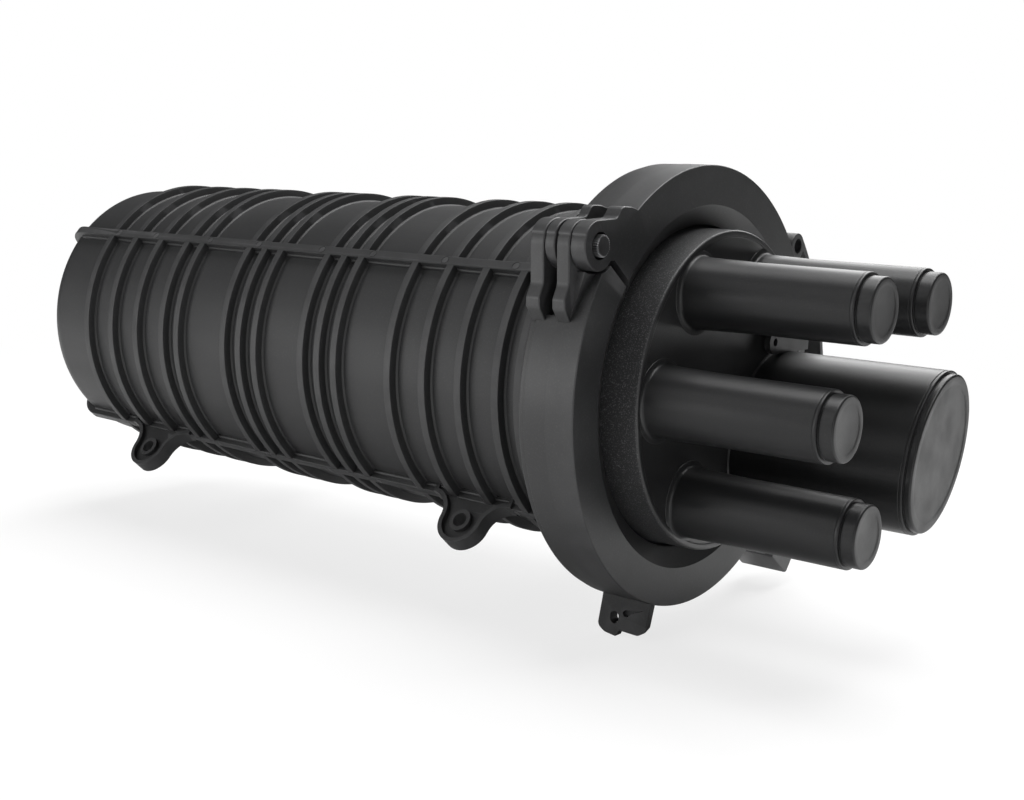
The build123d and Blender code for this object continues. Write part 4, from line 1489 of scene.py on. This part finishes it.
    def foot_slot(self, radius: float) -> list[Flat]:
        """Draws the foot's upright slot, at a radius about its two ends, as (x, z) points."""
        high, low = self.slot_ends
        return (arc((self.slot_x, high), radius, 0.0, 180.0, 14)
                + arc((self.slot_x, low), radius, 180.0, 360.0, 14))

    def catch(self) -> bpy.types.Object:
        """Models the catch that the latch's wedge sits under.

        Returns:
            The catch.
        """
        latch = self.latch
        inner = along(latch.inner_toe, latch.slope + 90.0, self.catch_play)
        outer = along(inner, latch.slope, self.catch_length)
        nose = along(outer, 90.0, self.catch_nose)
        first, last = (at(radius, angle) for radius, angle in self.catch_root)
        outline = rounded([(*first, 0.0), (*nose, 1.2), (*outer, 1.2), (*inner, 1.0), (*last, 0.0)],
                          closed=True, steps=4)
        catch = Bench.slab("latch_catch", outline, latch.middle - self.ramp_half,
                           latch.middle + self.ramp_half)
        return Bench.ease(catch, 0.6)

    def gusset(self) -> bpy.types.Object:
        """Models the small web that leans from the front strap towards the ring's front edge.

        Returns:
            The web.
        """
        x0 = self.straps[0][1] - 0.4
        corners = self.gusset_corners
        web = Bench.slab("gusset", [at(radius, self.split + turn) for radius, turn in corners],
                         x0, x0 + self.gusset_depth)
        foot_radius = corners[0][0] - 2.0
        low = Vector((x0, *at(foot_radius, self.split + corners[2][1])))
        high = Vector((x0 + self.gusset_depth, *at(foot_radius, self.split + corners[0][1])))
        run = 0.3 * (high - low)
        side = Vector((self.width, 0.0, 0.0))
        low, high = low - run, high + run
        slope = [tuple(low), tuple(high), tuple(high + side), tuple(low + side)]
        outward = at(24.0, self.split + corners[2][1] / 2.0)
        return Bench.cut(web, Bench.plate("gusset_slope", slope, (0.0, *outward)))

    def lower(self, datum: Datum, finishes: Finishes) -> None:
        """Builds the fixed half with straps, foot and catch.

        Args:
            datum: Place of the closure in the row frame.
            finishes: Materials of the closure.
        """
        start, stop = self.split + self.split_turn, self.split + 180.0 - self.split_turn
        half = Bench.part_turn("clamp_ring_lower", self.section(), start, stop, 90)
        self.knuckles(half, self.straps, self.arms, Sense.UP)
        near, far = self.straps[1][1], self.straps[0][0]
        low, high = self.pocket
        start, stop = (self.split + turn for turn in self.pocket_turns)
        section = [(near, low), (far, low), (far, high), (near, high)]
        Bench.cut(half, Bench.part_turn("pocket", section, start, stop, 24))
        Bench.unite(half, self.gusset())
        Bench.cut(half, Bench.rod("relief", self.hinge(), self.relief, self.arms[0][0] - self.play,
                                  2.0, 72))
        Bench.unite(half, self.foot())
        Bench.unite(half, self.catch())
        Bench.coat(half, finishes.clamp)
        datum.seat(half, Body.ROOT, "clamp_lower")

    def lug_outline(self) -> list[Flat]:
        """Draws the lug on the upper half that holds the latch's pin.

        Returns:
            The outline as (y, z) points.
        """
        latch = self.latch
        eye = arc(latch.pivot(), latch.knuckle, latch.angle - 80.0, latch.angle + 80.0, 16)
        first, shoulder, last = (at(radius, latch.angle + turn)
                                 for radius, turn in self.lug_corners)
        return [first, *eye, shoulder, last]

    def upper(self, datum: Datum, finishes: Finishes) -> None:
        """Builds the swinging half with arms, ramp and latch lug.

        Args:
            datum: Place of the closure in the row frame.
            finishes: Materials of the closure.
        """
        start, stop = self.split - 180.0 + self.split_turn, self.split - self.split_turn
        half = Bench.part_turn("clamp_ring_upper", self.section(), start, stop, 90)
        self.knuckles(half, self.arms, self.straps, Sense.DOWN)
        Bench.cut(half, Bench.rod("pin_seat", self.hinge(), self.pin_seat, -4.5, 2.0, 48))
        latch = self.latch
        slope = [at(radius, latch.angle + turn) for radius, turn in self.ramp]
        ramp = Bench.slab("latch_ramp", slope, latch.middle - self.ramp_half,
                          latch.middle + self.ramp_half)
        Bench.unite(half, Bench.ease(ramp, 0.5))
        back, front = -self.width - 1.0, 1.0
        room = Bench.rod("latch_room", latch.pivot(), latch.knuckle + 0.4, back, front, 64)
        Bench.cut(half, room)
        lug = Bench.slab("latch_lug", self.lug_outline(), latch.middle - latch.lug_width / 2.0,
                         latch.middle + latch.lug_width / 2.0)
        Bench.unite(half, lug)
        Bench.cut(half, Bench.rod("latch_bore", latch.pivot(), latch.bore, back, front, 40))
        Bench.coat(half, finishes.clamp)
        datum.seat(half, Body.CLAMP_HALF, "clamp_upper")

    def hinge_pin(self, datum: Datum, finishes: Finishes) -> None:
        """Builds the steel pin with its splined, slightly domed end.

        Args:
            datum: Place of the closure in the row frame.
            finishes: Materials of the closure.
        """
        teeth = self.pin_teeth
        outline = [along(self.hinge(), 180.0 * k / teeth, self.pin_tooth[k % 2])
                   for k in range(2 * teeth)]
        pin = Bench.slab("hinge_pin_steel", outline, *self.pin_head)
        Bench.pick_faces(pin, lambda face: face.normal.x > 0.9)
        bpy.ops.mesh.inset(thickness=0.5, depth=0.28)
        bpy.ops.object.mode_set(mode="OBJECT")
        end = self.pin_head[0] + 0.2
        Bench.unite(pin, Bench.rod("pin_shaft", self.hinge(), self.pin, -self.width, end, 48, 0.4))
        Bench.coat(pin, finishes.dull)
        datum.seat(pin, Body.ROOT, "hinge_pin", angle=25.0)

    def build(self, datum: Datum, finishes: Finishes) -> None:
        """Builds both halves and the pin of their hinge.

        Args:
            datum: Place of the closure in the row frame.
            finishes: Materials of the closure.
        """
        self.lower(datum, finishes)
        self.upper(datum, finishes)
        self.hinge_pin(datum, finishes)


@dataclass
class LatchLever:
    """Bowed latch lever: knuckle above, strap, and the wedge with its grip below."""

    fit: LatchFit = LatchFit()
    thick: float = 3.2
    bow: Flat = (123.4, 9.0)
    heel: Flat = (105.0, -99.5)
    toe: Flat = (99.0, -106.8)
    wedge: float = 38.0
    front_x: float = -1.4
    back_x: float = -27.0
    channel: Flat = (-1.0, 1.1)
    channel_side: float = 4.0
    grips: tuple[int, ...] = (-3, -5, -7, -9)
    grip_radius: float = 0.8
    grip_side: float = 3.0
    pin: float = 2.6
    pin_seat: Flat = (3.7, 4.4)

    def bow_arc(self, depth: float, steps: int) -> list[Flat]:
        """Lists points down the bow, from the knuckle to the heel, below its outer face.

        Args:
            depth: Distance below the outer face.
            steps: Number of chords.

        Returns:
            The points, as (y, z).
        """
        top = along(self.fit.pivot(), self.fit.angle, self.fit.knuckle)
        middle = circle_through(top, self.bow, self.heel)
        radius = math.dist(middle, self.bow) - depth
        return arc(middle, radius, heading(middle, top), heading(middle, self.heel), steps)

    def outline(self) -> list[Flat]:
        """Draws the lever's closed side view.

        Returns:
            The outline as (y, z) points.
        """
        fit = self.fit
        pivot = fit.pivot()
        outer = self.bow_arc(0.0, 40)
        inner = [p for p in self.bow_arc(self.thick, 60) if math.dist(p, pivot) > fit.knuckle]
        face = along(fit.inner_toe, fit.slope, self.wedge)
        across = at(1.0, fit.slope + 90.0)
        kept = [(y, z) for y, z in inner
                if (y - face[0]) * across[0] + (z - face[1]) * across[1] > 0.4]
        roll = arc(pivot, fit.knuckle, fit.angle, heading(pivot, kept[0]) + 360.0, 34)
        foot = rounded([(*kept[-1], 0.0), (*fit.inner_toe, 1.2), (*self.toe, 2.2),
                        (*self.heel, 1.6), (*outer[-3], 0.0)], steps=4)
        return list(reversed(outer[1:-3])) + roll + kept[1:] + foot[1:]

    def build(self, datum: Datum, finishes: Finishes) -> None:
        """Builds the lever and its pin, and seats them.

        Args:
            datum: Place of the closure in the row frame.
            finishes: Materials of the closure.
        """
        pivot = self.fit.pivot()
        back, front = self.back_x, self.front_x
        lever = Bench.slab("latch_lever_strap", self.outline(), back, front)
        Bench.ease(lever, 0.7, 2, 40.0)
        outer, inner = (self.bow_arc(depth, 30)[4:-6] for depth in self.channel)
        Bench.cut(lever, Bench.slab("channel", outer + list(reversed(inner)),
                                    back + self.channel_side, front - self.channel_side))
        for index in self.grips:
            Bench.cut(lever, Bench.rod("grip", self.bow_arc(0.0, 60)[index], self.grip_radius,
                                       back + self.grip_side, front - self.grip_side, 16))
        middle = (front + back) / 2.0
        room = self.fit.lug_width / 2.0 + 0.4
        Bench.cut(lever, Bench.rod("lug_room", pivot, self.fit.knuckle + 0.8, middle - room,
                                   middle + room, 64))
        Bench.cut(lever, Bench.rod("pin_bore", pivot, self.fit.bore, back - 1.0, front + 1.0, 40))
        radius, depth = self.pin_seat
        for x0, x1 in ((front - depth, front + 1.0), (back - 1.0, back + depth)):
            Bench.cut(lever, Bench.rod("pin_seat", pivot, radius, x0, x1, 40))
        Bench.coat(lever, finishes.clamp)
        datum.seat(lever, Body.LATCH, "latch_lever")
        pin = Bench.rod("latch_pin_steel", pivot, self.pin, back + 4.2, front - 4.2, 40, 0.4)
        Bench.coat(pin, finishes.steel)
        datum.seat(pin, Body.CLAMP_HALF, "latch_pin")


@dataclass(frozen=True)
class Lamp:
    """One soft square lamp: its place, aim and size in metres, and its power in watts."""

    name: str
    place: Point
    aim: Point
    size: float
    power: float

    def build(self) -> None:
        """Adds the lamp, unseen by the camera."""
        Bench.clear()
        bpy.ops.object.light_add(type="AREA", location=self.place)
        lamp = bpy.context.object
        lamp.name = self.name
        lamp.data.shape = "SQUARE"
        lamp.data.size = self.size
        lamp.data.energy = self.power
        lamp.visible_camera = False
        direction = Vector(self.aim) - Vector(self.place)
        lamp.rotation_euler = direction.to_track_quat("-Z", "Y").to_euler()


@dataclass
class Studio:
    """Pale floor, soft light and the camera at the photograph's angle."""

    camera_place: Point = (320.3, -548.8, 90.5)
    azimuth: float = 38.05
    elevation: float = 8.97
    roll: float = 2.33
    focal_pixels: float = 1404.1
    sensor: float = 36.0
    frame_width: float = 1024.0
    near_clip: float = 0.01
    ambient: float = 0.06
    floor_size: float = 30.0
    floor_colour: Colour = (0.92, 0.92, 0.92, 1.0)
    shadow_share: float = 0.24
    shadow_reach: Flat = (0.35, 0.95)
    lamps: tuple[Lamp, ...] = (
        Lamp("key", (-1.0, -1.7, 1.5), (0.0, 0.0, 0.1), 1.6, 10.5),
        Lamp("top", (0.1, 0.3, 1.9), (0.0, 0.0, 0.1), 1.5, 46.0),
        Lamp("fill", (1.6, -1.6, 0.5), (0.1, 0.0, 0.1), 1.2, 8.5),
        Lamp("back", (-0.3, 1.9, 1.5), (-0.05, 0.0, 0.15), 1.5, 34.0),
        Lamp("bounce", (-0.75, -1.1, 0.1), (-0.05, 0.0, 0.1), 0.7, 6.5),
    )

    def camera(self, datum: Datum) -> None:
        """Sets the camera from the angles fitted to the photograph.

        Args:
            datum: Place of the closure in the row frame.
        """
        az, el, ro = (math.radians(v) for v in (self.azimuth, self.elevation, self.roll))
        view = Vector((-math.sin(az) * math.cos(el), math.cos(az) * math.cos(el), -math.sin(el)))
        level = Vector((math.cos(az), math.sin(az), 0.0))
        up = level.cross(view)
        right = level * math.cos(ro) + up * math.sin(ro)
        top = up * math.cos(ro) - level * math.sin(ro)
        Bench.clear()
        bpy.ops.object.camera_add(location=datum.point(*self.camera_place))
        camera = bpy.context.object
        camera.rotation_euler = Matrix((right, top, -view)).transposed().to_euler()
        camera.data.sensor_width = self.sensor
        camera.data.lens = self.focal_pixels * self.sensor / self.frame_width
        camera.data.clip_start = self.near_clip
        bpy.context.scene.camera = camera

    def world(self) -> None:
        """Makes the surroundings white to the camera and dim as a light."""
        world = bpy.data.worlds.new("studio")
        bpy.context.scene.world = world
        tree = emptied(world)
        link = tree.links.new
        seen = add_node(tree, "Background", Color=WHITE)
        felt = add_node(tree, "Background", Color=WHITE, Strength=self.ambient)
        mix = add_node(tree, "MixShader")
        link(add_node(tree, "LightPath").outputs["Is Camera Ray"], mix.inputs["Fac"])
        link(felt.outputs["Background"], mix.inputs[1])
        link(seen.outputs["Background"], mix.inputs[2])
        link(mix.outputs["Shader"], add_node(tree, "OutputWorld").inputs["Surface"])

    def floor_finish(self) -> bpy.types.Material:
        """Makes the floor's finish: matt near the object and glowing white farther out.

        Returns:
            The material.
        """
        material = bpy.data.materials.new("pale floor")
        tree = emptied(material)
        link = tree.links.new
        matt = add_node(tree, "BsdfDiffuse", Color=self.floor_colour)
        glow = add_node(tree, "Emission", Color=WHITE, Strength=1.0)
        distance = add_node(tree, "VectorMath")
        distance.operation = "LENGTH"
        link(add_node(tree, "TexCoord").outputs["Object"], distance.inputs[0])
        near, far = self.shadow_reach
        fade = add_node(tree, "MapRange", From_Min=near, From_Max=far,
                        To_Min=1.0 - self.shadow_share, To_Max=1.0)
        fade.interpolation_type = "SMOOTHSTEP"
        link(distance.outputs["Value"], fade.inputs["Value"])
        share = add_node(tree, "Math")
        share.operation = "MULTIPLY"
        link(add_node(tree, "LightPath").outputs["Is Camera Ray"], share.inputs[0])
        link(fade.outputs["Result"], share.inputs[1])
        mix = add_node(tree, "MixShader")
        link(share.outputs["Value"], mix.inputs["Fac"])
        link(matt.outputs["BSDF"], mix.inputs[1])
        link(glow.outputs["Emission"], mix.inputs[2])
        link(mix.outputs["Shader"], add_node(tree, "OutputMaterial").inputs["Surface"])
        return material

    def floor(self) -> None:
        """Lays a wide pale floor that keeps a light shadow."""
        Bench.clear()
        bpy.ops.mesh.primitive_plane_add(size=self.floor_size, location=ORIGIN)
        floor = bpy.context.object
        floor.name = "floor"
        floor.data.materials.append(self.floor_finish())

    def build(self, datum: Datum) -> None:
        """Sets up the whole studio.

        Args:
            datum: Place of the closure in the row frame.
        """
        self.floor()
        self.world()
        for lamp in self.lamps:
            lamp.build()
        self.camera(datum)
        bpy.context.scene.view_settings.view_transform = "Standard"


def main() -> None:
    """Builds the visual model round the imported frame."""
    logging.basicConfig(level=logging.INFO, format="%(message)s")
    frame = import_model()
    datum = Datum.from_frame()
    finishes = Finishes()
    finishes.dress_frame(frame["nodes"], frame["record"])
    RibbedDome().build(datum, finishes)
    PortBase().build(datum, finishes)
    RingClamp().build(datum, finishes)
    LatchLever().build(datum, finishes)
    Studio().build(datum)


if __name__ == "__main__":
    main()
